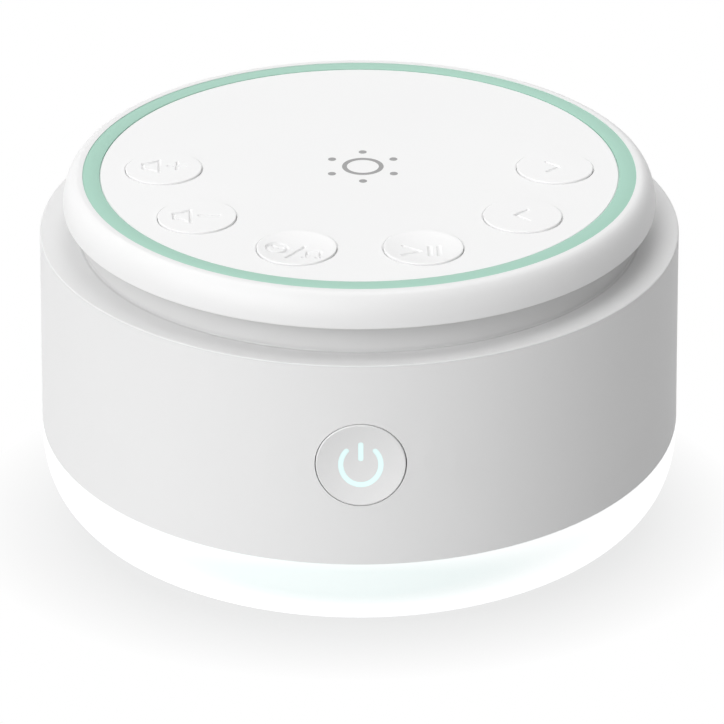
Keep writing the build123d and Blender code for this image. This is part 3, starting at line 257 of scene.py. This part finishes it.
# ------------------------------------------------------------------ speaker
# 40 mm full-range driver that fires down through the base plate: pressed steel
# frame, paper cone with a rubber surround, and a ferrite magnet behind.
CONE_BLACK = (0.045, 0.045, 0.05)
STEEL_GREY = (0.5, 0.51, 0.52)
FERRITE = (0.05, 0.05, 0.055)
SPIDER_AMBER = (0.55, 0.3, 0.08)
COPPER = (0.8, 0.36, 0.16)
SURROUND_BLACK = (0.02, 0.02, 0.022)
FOAM_BLACK = (0.07, 0.07, 0.07)
FOAM_PORE = 0.5 * mm

frame_finish = metal("pressed_steel", STEEL_GREY, roughness=0.38, streak=1.5 * mm)
dress(frame_finish, "speaker_frame", "speaker_top_plate", "speaker_yoke")

paper, tree, shader = new_finish("cone_paper", CONE_BLACK, roughness=0.9)
fibres = cloud(tree, size=0.5 * mm, detail=8.0)
tint(tree, fibres, CONE_BLACK, shader.inputs["Base Color"], darker=0.6)
raise_grain(tree, fibres, shader, depth=0.08 * mm)
dress(paper, "speaker_cone", "speaker_dust_cap")

surround_finish = moulded(
    "surround_rubber", SURROUND_BLACK, roughness=0.6, grain=0.8 * mm, depth=0.02 * mm
)
dress(surround_finish, "speaker_surround")

foam_finish, tree, shader = new_finish("gasket_foam", FOAM_BLACK, roughness=0.95)
pores = add_node(tree, "TexVoronoi", Scale=1 / FOAM_PORE)
tree.links.new(own_space(tree), pores.inputs["Vector"])
tint(tree, pores, FOAM_BLACK, shader.inputs["Base Color"], darker=0.4)
raise_grain(tree, pores, shader, depth=0.15 * mm)
dress(foam_finish, "speaker_gasket")

magnet_finish = moulded("ferrite", FERRITE, roughness=0.5, grain=0.7 * mm, depth=0.03 * mm)
dress(magnet_finish, "speaker_magnet")

# The wave texture's scale for a pitch, and how deep bands are for their pitch.
WAVE_SPAN = 10
BAND_DEPTH = 1 / 6


def banded(name, colour, pitch, darker, roughness, kind="RINGS", towards="Z"):
    """Finish with fine bands at this pitch: turns of wire, weave or a row of tracks."""
    finish, tree, shader = new_finish(name, colour, roughness)
    bands = add_node(tree, "TexWave", wave_type=kind, Scale=pi / (WAVE_SPAN * pitch))
    if kind == "RINGS":
        bands.rings_direction = towards
    else:
        bands.bands_direction = towards
    tree.links.new(own_space(tree), bands.inputs["Vector"])
    tint(tree, bands, colour, shader.inputs["Base Color"], darker)
    raise_grain(tree, bands, shader, pitch * BAND_DEPTH)
    return finish


spider_finish = banded(
    "spider_cloth", SPIDER_AMBER, pitch=1.6 * mm, darker=0.6, roughness=0.85
)
dress(spider_finish, "speaker_spider")
coil_finish = banded(
    "coil_copper", COPPER, pitch=0.25 * mm, darker=0.5, roughness=0.35, kind="BANDS"
)
dress(coil_finish, "speaker_voice_coil")

# ------------------------------------------------------------------ housing
# The white band with its sloping deck and the neck that carries the cap: one ABS
# moulding with a fine matt grain, with painted shade along the step under the cap.
SHELL_WHITE = (0.86, 0.86, 0.86)
NECK_R = 43.6 * mm
NECK_FOOT_Z = 44.63 * mm
# Painted shade in the moulding's colour along the step, by millimetres past the neck's foot:
# negative up the neck, positive out over the deck and its edge. It is darkest up the neck
# under the cap, a little darker out across the deck, and dims the highlights on the fillet
# at the neck's foot and on the deck's rounded edge.
STEP_PAINTED_SHADE = {
    -5.0: 0.73, -2.4: 0.76, -0.7: 0.81, -0.25: 0.76, 0.2: 0.78, 0.5: 1.0, 2.5: 0.95, 5.0: 0.92,
    5.2: 0.87, 5.5: 0.87, 5.7: 1.0,
}


def across_and_up(tree):
    """A spot's distance from the machine's axis and its height, to paint shade by."""
    place = own_space(tree)
    spot = add_node(tree, "SeparateXYZ")
    tree.links.new(place, spot.inputs["Vector"])
    # The spot as seen from above, without its height.
    level = add_node(tree, "VectorMath", operation="MULTIPLY")
    level.inputs[1].default_value = (1, 1, 0)
    tree.links.new(place, level.inputs[0])
    reach = add_node(tree, "VectorMath", operation="LENGTH")
    tree.links.new(level.outputs["Vector"], reach.inputs[0])
    return reach.outputs["Value"], spot.outputs["Z"]


def paint_shade_along(tree, distance, painted_shades):
    """Paints shade into a moulding's own colour by a distance, from {distance: share of the
    colour}.
    """
    start, end = min(painted_shades), max(painted_shades)
    span = add_node(tree, "MapRange", From_Min=start, From_Max=end)
    tree.links.new(distance, span.inputs["Value"])
    ramp = add_node(tree, "ValToRGB")
    stops = ramp.color_ramp.elements
    stops.remove(stops[1])
    for reach, shade in painted_shades.items():
        stop = stops[0] if reach == start else stops.new((reach - start) / (end - start))
        stop.color = (shade, shade, shade, 1)
    tree.links.new(span.outputs["Result"], ramp.inputs["Fac"])
    base = tree.nodes["Principled BSDF"].inputs["Base Color"]
    # The mix node takes its colours at sockets 6 and 7 and gives one out at socket 2.
    shaded = add_node(tree, "Mix", data_type="RGBA", blend_type="MULTIPLY", Factor=1.0)
    tree.links.new(base.links[0].from_socket, shaded.inputs[6])
    tree.links.new(ramp.outputs["Color"], shaded.inputs[7])
    tree.links.new(shaded.outputs[2], base)


shell_finish = moulded(
    "shell_white", SHELL_WHITE, roughness=0.5, grain=0.45 * mm, depth=0.006 * mm
)
tree = shell_finish.node_tree
across, up = across_and_up(tree)
along_step = add_node(tree, "Math", operation="SUBTRACT")
tree.links.new(across, along_step.inputs[0])
tree.links.new(up, along_step.inputs[1])
foot = NECK_R - NECK_FOOT_Z
painted_shades = {foot + past * mm: shade for past, shade in STEP_PAINTED_SHADE.items()}
# Painted shade along the step: darker up the neck and over the rounds of the step.
paint_shade_along(tree, along_step.outputs["Value"], painted_shades)
dress(shell_finish, "main_housing")

# ------------------------------------------------------------------ electronics
# Main board with its chips and plugs, the USB-C socket at the back with gold contacts
# on its tongue, and a flat lithium cell held under the deck by a moulded strap.
PLUG_CREAM = (0.72, 0.68, 0.52)
CHIP_BLACK = (0.018, 0.018, 0.02)
WRAP_BLUE = (0.03, 0.12, 0.4)
FILM_AMBER = (0.6, 0.24, 0.04)
SOCKET_STEEL = (0.66, 0.67, 0.68)
STRAP_GREY = (0.3, 0.3, 0.31)
PIN_GOLD = (0.83, 0.6, 0.24)
PIN_W, PIN_T = 0.25 * mm, 0.05 * mm
PIN_PITCH = 0.5 * mm
PIN_LENGTH = 3.4 * mm
PINS = 12
TONGUE_T = 0.7 * mm
TONGUE_BACK = 1.0 * mm
# Corners of a finished piece closer than this are one corner.
WELD = 0.0005 * mm

chip_finish = moulded(
    "chip_black", CHIP_BLACK, roughness=0.55, grain=0.25 * mm, depth=0.01 * mm
)
dress(chip_finish, "board_components")
plug_finish = moulded("plug_cream", PLUG_CREAM, roughness=0.5, grain=0.6 * mm, depth=0.01 * mm)
dress(plug_finish, "board_connectors")
socket_finish = metal("socket_steel", SOCKET_STEEL, roughness=0.25, streak=0.6 * mm)
dress(socket_finish, "usb_socket")
wrap_finish = moulded("cell_wrap", WRAP_BLUE, roughness=0.3, grain=3 * mm, depth=0.04 * mm)
dress(wrap_finish, "battery_cell")
strap_finish = moulded("strap_grey", STRAP_GREY, roughness=0.5, grain=0.5 * mm, depth=0.01 * mm)
dress(strap_finish, "battery_bracket")
film_finish = banded(
    "ribbon_film", FILM_AMBER, pitch=1.0 * mm, darker=0.7, roughness=0.3,
    kind="BANDS", towards="X",
)
dress(film_finish, "key_ribbon")


def piece_of(mesh_name, work, finish, body):
    """Ends a bmesh: merged, faces outward, one finish, riding on its body."""
    bmesh.ops.remove_doubles(work, verts=work.verts, dist=WELD)
    bmesh.ops.recalc_face_normals(work, faces=work.faces)
    mesh = bpy.data.meshes.new(mesh_name)
    work.to_mesh(mesh)
    work.free()
    mesh.materials.append(finish)
    piece = bpy.data.objects.new(mesh_name, mesh)
    scene.collection.objects.link(piece)
    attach(piece, body)
    return piece


pin_finish = metal("pin_gold", PIN_GOLD, roughness=0.3, streak=0.5 * mm)
low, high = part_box("usb_socket")
contacts = bmesh.new()
for side in (-1, 1):
    for pin in range(PINS):
        x = (pin - (PINS - 1) / 2) * PIN_PITCH
        y = high.y - TONGUE_BACK - PIN_T - PIN_LENGTH / 2
        z = (low.z + high.z) / 2 + side * TONGUE_T / 2
        place = Matrix.Translation((x, y, z))
        size = Matrix.Diagonal((PIN_W, PIN_LENGTH, PIN_T, 1))
        bmesh.ops.create_cube(contacts, size=1, matrix=place @ size)
piece_of("usb_contacts", contacts, pin_finish, "machine_body")

# ------------------------------------------------------------------ leads
# Thin stranded wires in soft PVC sleeves, one colour for each pair, crimped into
# the plugs on the main board and soldered at their other ends.
SLEEVES = {
    "speaker_leads": ("speaker_lead_red", (0.5, 0.03, 0.03)),
    "battery_leads": ("battery_lead_red", (0.55, 0.02, 0.02)),
    "led_leads": ("led_lead_white", (0.7, 0.7, 0.68)),
    "power_leads": ("power_lead_black", (0.03, 0.03, 0.03)),
}

for leads, (sleeve, colour) in SLEEVES.items():
    dress(moulded(sleeve, colour, roughness=0.45, grain=0.8 * mm, depth=0.01 * mm), leads)

# ------------------------------------------------------------------ power key
# Round white key with a dished face that slides in a guide behind the band. A
# clear power sign is moulded through it and lit from a LED on the switch board.
SIGN_CLEAR = (0.45, 0.5, 0.5)
SIGN_GLOW = (0.7, 1.0, 0.99)
SIGN_POWER = 0.61

dress(shell_finish, "power_key")
sign_finish, tree, shader = new_finish("sign_clear", SIGN_CLEAR, roughness=0.3)
mottle = cloud(tree, size=3 * mm)
tint(tree, mottle, SIGN_GLOW, shader.inputs["Emission Color"], darker=0.97)
shader.inputs["Emission Strength"].default_value = SIGN_POWER
dress(sign_finish, "power_key_icon")

# ------------------------------------------------------------------ switches
# Press switches soldered under every key: a black housing and a dark grey plunger
# that the key's stem pushes on.
SWITCH_BLACK = (0.03, 0.03, 0.033)
PLUNGER_GREY = (0.05, 0.05, 0.055)
KEYS = ("volume_up", "volume_down", "timer", "play_pause", "previous", "next")

switch_finish = moulded(
    "switch_black", SWITCH_BLACK, roughness=0.5, grain=0.4 * mm, depth=0.01 * mm
)
dress(switch_finish, "power_switch", "key_switches")
plunger_finish = moulded(
    "plunger_grey", PLUNGER_GREY, roughness=0.45, grain=0.4 * mm, depth=0.01 * mm
)
dress(plunger_finish, "power_switch_plunger", *["plunger_" + name for name in KEYS])

# ------------------------------------------------------------------ cap and panel
# Bull-nosed cap ring screwed over the neck, and the control panel with six key
# holes bonded to its shelf. A copper pad under the panel feels a finger.
CAP_WHITE = (0.87, 0.87, 0.87)
PANEL_WHITE = (0.885, 0.885, 0.885)
# Painted shade on the cap by its distance from the axis: darker at the rim and
# shoulder, full colour at the widest part.
CAP_PAINTED_SHADE = {43.1 * mm: 0.945, 44.6 * mm: 0.95, 45.9 * mm: 1.0}

cap_finish = moulded("cap_white", CAP_WHITE, roughness=0.42, grain=0.5 * mm, depth=0.004 * mm)
tree = cap_finish.node_tree
across = across_and_up(tree)[0]
# Painted shade: the cap is darker towards its rim.
paint_shade_along(tree, across, CAP_PAINTED_SHADE)
dress(cap_finish, "top_cap")
panel_finish = moulded(
    "panel_white", PANEL_WHITE, roughness=0.42, grain=0.5 * mm, depth=0.004 * mm
)
dress(panel_finish, "top_panel")
pad_finish = metal("touch_copper", COPPER, roughness=0.3, streak=0.8 * mm)
dress(pad_finish, "touch_pad")

# ------------------------------------------------------------------ trim ring
# Ring moulded in mint ABS with a slightly domed top, pressed into the cap round the
# panel. It fills all but a hair of the groove on either side.
MINT = (0.34, 0.588, 0.48)
RING_STEPS = 256
DOME_STEPS = 12
RING_GROOVE = 0.05 * mm
RING_SNUG = 0.045 * mm
DOME_RISE = 0.1 * mm
# Edges that turn more than this stay sharp.
RING_SHARP = radians(30)
# Corners on the axis and where a turned outline meets itself, closer than this, are
# one corner.
TURN_WELD = 0.001 * mm


def outline_arc(work, start, centre, angle, steps):
    """Runs an outline on from a corner, round a centre in the upright plane."""
    swept = bmesh.ops.spin(
        work, geom=[start], cent=centre, axis=(0, 1, 0), angle=angle, steps=steps
    )
    return swept["geom_last"][0]


def outline_to(work, start, x, z):
    """Runs an outline on from a corner, straight to (x, z)."""
    end = work.verts.new((x, 0, z))
    work.edges.new((start, end))
    return end


def turned(work, steps):
    """Turns an outline once round the vertical axis and closes it."""
    bmesh.ops.spin(
        work, geom=work.verts[:] + work.edges[:], cent=(0, 0, 0), axis=(0, 0, 1),
        angle=2 * pi, steps=steps, use_merge=True,
    )
    bmesh.ops.remove_doubles(work, verts=work.verts, dist=TURN_WELD)


mint_finish = moulded("mint_trim", MINT, roughness=0.4, grain=0.6 * mm, depth=0.004 * mm)
low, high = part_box("accent_ring")
outer = high.x + RING_SNUG
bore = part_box("top_panel")[1].x + RING_GROOVE - RING_SNUG
half = (outer - bore) / 2
dome_r = (half**2 + DOME_RISE**2) / (2 * DOME_RISE)
lean = Vector((0, 1)).angle(Vector((half, dome_r - DOME_RISE)))
trim = bmesh.new()
first = trim.verts.new((bore, 0, high.z - DOME_RISE))
at = outline_arc(trim, first, (bore + half, 0, high.z - dome_r), 2 * lean, DOME_STEPS)
at = outline_to(trim, at, outer, low.z)
at = outline_to(trim, at, bore, low.z)
trim.edges.new((at, first))
turned(trim, RING_STEPS)
trim_ring = piece_of("trim_ring", trim, mint_finish, "machine_body")
trim_ring.data.shade_smooth()
trim_ring.data.set_sharp_from_angle(angle=RING_SHARP)
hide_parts("accent_ring")

# ------------------------------------------------------------------ printed sun
# Sun sign of grey ink printed at the middle of the panel, over the touch pad:
# a ring and six dots.
SUN_CENTRE = (0.55 * mm, 0.55 * mm)
SUN_RING_R = 2.87 * mm
SUN_STROKE = 0.75 * mm
SUN_RAYS = 6
SUN_RAY_CIRCLE = 5.55 * mm
SUN_RAY_R = 0.63 * mm
INK_T = 0.02 * mm
INK_SUNK = 0.01 * mm
INK_GREY = (0.325, 0.325, 0.325)
SUN_STEPS = 96
DOT_STEPS = 32


def disc(work, centre, radius, low_z, high_z):
    """Flat round disc from low_z to high_z."""
    place = Matrix.Translation((*centre, (low_z + high_z) / 2))
    bmesh.ops.create_cone(
        work, cap_ends=True, segments=DOT_STEPS, radius1=radius, radius2=radius,
        depth=high_z - low_z, matrix=place,
    )


ink, tree, shader = new_finish("sun_ink", INK_GREY, roughness=0.6)
mottle = cloud(tree, size=1.5 * mm)
tint(tree, mottle, INK_GREY, shader.inputs["Base Color"], darker=0.96)
panel_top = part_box("top_panel")[1].z
sun = bmesh.new()
ink_low, ink_high = panel_top - INK_SUNK, panel_top + INK_T
inner, outer = SUN_RING_R - SUN_STROKE / 2, SUN_RING_R + SUN_STROKE / 2
first = sun.verts.new((inner, 0, ink_low))
at = outline_to(sun, first, outer, ink_low)
at = outline_to(sun, at, outer, ink_high)
at = outline_to(sun, at, inner, ink_high)
sun.edges.new((at, first))
turned(sun, SUN_STEPS)
for ray in range(SUN_RAYS):
    angle = pi / SUN_RAYS * (2 * ray + 1)
    spot = (SUN_RAY_CIRCLE * cos(angle), SUN_RAY_CIRCLE * sin(angle))
    disc(sun, spot, SUN_RAY_R, ink_low, ink_high)
bmesh.ops.translate(sun, verts=sun.verts, vec=(*SUN_CENTRE, 0))
piece_of("sun_print", sun, ink, "machine_body")

# ------------------------------------------------------------------ round keys
# Six round ABS keys, each with its sign sunk into the top. A flange under the
# panel holds each key in, and its stem presses a switch. Two of them are dished.
KEY_EDGE = 0.1 * mm
KEY_FLANGE_W = 0.87 * mm
KEY_FLANGE_T = 0.9 * mm
KEY_WALL = 1.1 * mm
KEY_TOP_T = 1.3 * mm
KEY_STEM_R = 1.9 * mm
DISH_R = 5.6 * mm
DISH_DEPTH = 0.4 * mm
DISHED = ("timer", "play_pause")
DISH_STEPS = 20
KEY_STEPS = 96
KEY_SHARP = radians(18)
ROUND_STEPS = 2
# Corners this close to a radius and height lie on it.
NEAR = 0.01 * mm
SIGN_DEPTH = 0.36 * mm
SIGN_OVER = 0.2 * mm
STROKE_STEPS = 16
SIGN_LEAN = Vector((-0.14, 0.1, 0)) * mm

# Strokes of each sign: width and corner points from the key's centre, in millimetres.
THIN, WIDE = 0.6, 0.85
SPEAKER = [
    (-3.3, 1.4), (-2.0, 1.8), (-0.75, 2.75), (-0.55, -1.8), (-2.3, -0.5), (-3.1, -0.5),
    (-3.3, 1.4),
]
# The loudspeaker stands further left and lower on the volume-down key.
LEFT, LOWER = 0.25, 0.65
CLOCK_X, CLOCK_Y, CLOCK_R, CLOCK_SIDES = -2.85, 0.15, 1.55, 14
clock = []
for side in range(CLOCK_SIDES + 1):
    angle = 2 * pi * side / CLOCK_SIDES
    clock.append((CLOCK_X + CLOCK_R * cos(angle), CLOCK_Y + CLOCK_R * sin(angle)))
SIGNS = {
    "volume_up": [
        (THIN, SPEAKER),
        (THIN, [(0.7, 0.7), (3.4, 0.7)]),
        (THIN, [(2.1, 2.1), (2.1, -0.7)]),
    ],
    "volume_down": [
        (THIN, [(x - LEFT, y - LOWER) for x, y in SPEAKER]),
        (THIN, [(0.4, 0.1), (3.5, 0.1)]),
    ],
    "timer": [
        (THIN, clock),
        (THIN, [(-3.5, 0.9), (CLOCK_X, CLOCK_Y), (-2.1, CLOCK_Y)]),
        (THIN, [(-1.5, -3.2), (1.2, 0.75)]),
        (THIN, [(1.55, -2.96), (1.65, -1.15), (3.65, -1.15), (3.55, -3.3)]),
        (WIDE, [(1.1, -3.0), (1.2, -2.95)]),
        (WIDE, [(3.1, -3.35), (3.2, -3.3)]),
    ],
    "play_pause": [
        (THIN, [(-2.95, 0.85), (-0.35, -0.8), (-3.05, -2.4)]),
        (WIDE, [(1.0, 0.6), (1.0, -2.4)]),
        (WIDE, [(2.35, 0.6), (2.35, -2.4)]),
    ],
    "previous": [(THIN, [(0.95, 1.9), (-1.05, 0), (1.0, -1.95)])],
    "next": [(THIN, [(-1.2, 1.9), (0.8, 0), (-1.2, -1.7)])],
}


def edge_loop(work, radius, height):
    """Edges of a turned piece that run round it at this radius and height."""
    def on_it(vert):
        return max(abs(vert.co.xy.length - radius), abs(vert.co.z - height)) < NEAR

    return [edge for edge in work.edges if on_it(edge.verts[0]) and on_it(edge.verts[1])]


def round_off(work, edges):
    """Rounds a key's edges over."""
    bmesh.ops.bevel(
        work, geom=edges, offset=KEY_EDGE, affect="EDGES", segments=ROUND_STEPS, profile=0.5,
        material=-1,
    )


def key_body(dished, flange_r):
    """Key turned round the origin with its top at height 0: cap, flange, hollow, stem."""
    cap_r = flange_r - KEY_FLANGE_W
    low_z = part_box("key_timer")[0].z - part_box("key_timer")[1].z
    work = bmesh.new()
    if dished:
        ball_r = (DISH_R**2 + DISH_DEPTH**2) / (2 * DISH_DEPTH)
        rim_angle = Vector((0, -1)).angle(Vector((DISH_R, DISH_DEPTH - ball_r)))
        at = work.verts.new((0, 0, -DISH_DEPTH))
        at = outline_arc(work, at, (0, 0, ball_r - DISH_DEPTH), -rim_angle, DISH_STEPS)
    else:
        at = work.verts.new((0, 0, 0))
    for x, z in (
        (cap_r, 0), (cap_r, low_z + KEY_FLANGE_T), (flange_r, low_z + KEY_FLANGE_T),
        (flange_r, low_z), (cap_r - KEY_WALL, low_z), (cap_r - KEY_WALL, -KEY_TOP_T),
        (KEY_STEM_R, -KEY_TOP_T), (KEY_STEM_R, low_z), (0, low_z),
    ):
        at = outline_to(work, at, x, z)
    turned(work, KEY_STEPS)
    round_off(work, edge_loop(work, cap_r, 0))
    round_off(work, edge_loop(work, flange_r, low_z))
    bmesh.ops.recalc_face_normals(work, faces=work.faces)
    return work


def dish_fall(spot):
    """How far the top of a dished key lies below its rim at this place."""
    return DISH_DEPTH * max(0, 1 - spot.length_squared / DISH_R**2)


def groove(work, start, end, width, dished):
    """V-shaped groove between two places on a key's top, steep at its back left side."""
    wide = width / 2 * (SIGN_OVER + SIGN_DEPTH) / SIGN_DEPTH
    corners = []
    for spot in (start, end):
        fall = dish_fall(spot) if dished else 0
        rim = bmesh.ops.create_circle(
            work, segments=STROKE_STEPS, radius=wide,
            matrix=Matrix.Translation(spot + Vector((0, 0, SIGN_OVER - fall))),
        )
        corners += rim["verts"]
        corners.append(work.verts.new(spot + SIGN_LEAN - Vector((0, 0, SIGN_DEPTH + fall))))
    bmesh.ops.convex_hull(work, input=corners)


def sign_cutter(name):
    """Solid grooves of a key's sign, round the origin."""
    work = bmesh.new()
    for width, points in SIGNS[name]:
        corners = [Vector((x, y, 0)) * mm for x, y in points]
        for start, end in zip(corners, corners[1:]):
            groove(work, start, end, width * mm, name in DISHED)
    loose = [edge for edge in work.edges if not edge.link_faces]
    bmesh.ops.delete(work, geom=loose, context="EDGES")
    bmesh.ops.recalc_face_normals(work, faces=work.faces)
    return work


def scratch_solid(work):
    """Plain object from a bmesh, for cutting with."""
    mesh = bpy.data.meshes.new("scratch")
    work.to_mesh(mesh)
    work.free()
    solid = bpy.data.objects.new("scratch", mesh)
    scene.collection.objects.link(solid)
    return solid


def cut(solid, tool):
    """Takes the tool's shape out of the solid, then throws the tool away."""
    change = solid.modifiers.new("cut", "BOOLEAN")
    change.operation = "DIFFERENCE"
    change.solver = "EXACT"
    change.use_self = True
    change.object = tool
    result = bpy.data.meshes.new_from_object(
        solid.evaluated_get(bpy.context.evaluated_depsgraph_get())
    )
    solid.modifiers.clear()
    old, solid.data = solid.data, result
    bpy.data.meshes.remove(old)
    bpy.data.objects.remove(tool)


for name in KEYS:
    low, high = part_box("key_" + name)
    flange_r = (high.x - low.x) / 2
    key = scratch_solid(key_body(name in DISHED, flange_r))
    cut(key, scratch_solid(sign_cutter(name)))
    work = bmesh.new()
    work.from_mesh(key.data)
    bpy.data.objects.remove(key)
    spot = ((low.x + high.x) / 2, (low.y + high.y) / 2, high.z)
    bmesh.ops.translate(work, verts=work.verts, vec=spot)
    key = piece_of(name + "_key", work, panel_finish, "key_" + name)
    key.data.shade_smooth()
    key.data.set_sharp_from_angle(angle=KEY_SHARP)
    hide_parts("key_" + name)

# ------------------------------------------------------------------ floor and light
# Pale floor that runs out of sight, under a dim white sky and three large soft lamps:
# low at the front left, higher at the left, and high at the back.
FLOOR_HALF = 3.0
FLOOR_WHITE = (0.4, 0.4, 0.4)
# Share of plain white in the floor under the machine, and the oval over which it
# grows to all white.
FLOOR_LIFT = 0.7
SHADOW_NEAR = 34 * mm
SHADOW_FAR = 50 * mm
SHADOW_OVAL = (0.79, 1.0, 1.0)
SHADOW_SHIFT = Vector((0.5, 12, 0)) * mm
SKY = 0.35
LAMP_ANGLE = radians(60)
# Each lamp's bearing from the front and its height, in degrees, and its strength.
LAMPS = {
    "front_low": (-35, 20, 1.72),
    "left_high": (-60, 45, 0.42),
    "back_high": (-160, 65, 1.27),
}


def in_view(tree):
    """Socket that is 1 for what the camera sees, straight on, mirrored or through glass."""
    ray = add_node(tree, "LightPath")
    seen = ray.outputs["Is Camera Ray"]
    for also in ("Is Glossy Ray", "Is Transmission Ray"):
        either = add_node(tree, "Math", operation="MAXIMUM")
        tree.links.new(seen, either.inputs[0])
        tree.links.new(ray.outputs[also], either.inputs[1])
        seen = either.outputs[0]
    return seen


ground = bmesh.new()
bmesh.ops.create_grid(ground, x_segments=1, y_segments=1, size=FLOOR_HALF)
mesh = bpy.data.meshes.new("floor")
ground.to_mesh(mesh)
ground.free()
floor_finish, tree, shader = new_finish("floor_white", FLOOR_WHITE, roughness=0.9)
drift = cloud(tree, size=300 * mm)
tint(tree, drift, FLOOR_WHITE, shader.inputs["Base Color"], darker=0.995)
oval = add_node(tree, "Mapping", Location=SHADOW_SHIFT, Scale=SHADOW_OVAL)
distance = add_node(tree, "VectorMath", operation="LENGTH")
tree.links.new(own_space(tree), oval.inputs["Vector"])
tree.links.new(oval.outputs["Vector"], distance.inputs[0])
fade = add_node(
    tree, "MapRange", From_Min=SHADOW_NEAR, From_Max=SHADOW_FAR, To_Min=FLOOR_LIFT, To_Max=1.0
)
tree.links.new(distance.outputs["Value"], fade.inputs["Value"])
share = add_node(tree, "Math", operation="MULTIPLY")
tree.links.new(in_view(tree), share.inputs[0])
tree.links.new(fade.outputs["Result"], share.inputs[1])
white_glow = add_node(tree, "Emission", Strength=1.0)
blend = add_node(tree, "MixShader")
tree.links.new(share.outputs[0], blend.inputs["Fac"])
tree.links.new(shader.outputs["BSDF"], blend.inputs[1])
tree.links.new(white_glow.outputs["Emission"], blend.inputs[2])
tree.links.new(blend.outputs["Shader"], tree.nodes["Material Output"].inputs["Surface"])
mesh.materials.append(floor_finish)
floor = bpy.data.objects.new("floor", mesh)
scene.collection.objects.link(floor)

for lamp_name, (around, up, energy) in LAMPS.items():
    lamp_data = bpy.data.lights.new(lamp_name, "SUN")
    lamp_data.energy = energy
    lamp_data.angle = LAMP_ANGLE
    lamp = bpy.data.objects.new(lamp_name, lamp_data)
    around, up = radians(around), radians(up)
    source = Vector((cos(up) * sin(around), -cos(up) * cos(around), sin(up)))
    lamp.rotation_euler = source.to_track_quat("Z", "Y").to_euler()
    scene.collection.objects.link(lamp)

sky = bpy.data.worlds.new("sky")
sky.use_nodes = True
scene.world = sky
tree = sky.node_tree
brightness = add_node(tree, "MapRange", To_Min=SKY, To_Max=1.0)
tree.links.new(in_view(tree), brightness.inputs["Value"])
backdrop = tree.nodes["Background"]
backdrop.inputs["Color"].default_value = (1, 1, 1, 1)
tree.links.new(brightness.outputs["Result"], backdrop.inputs["Strength"])
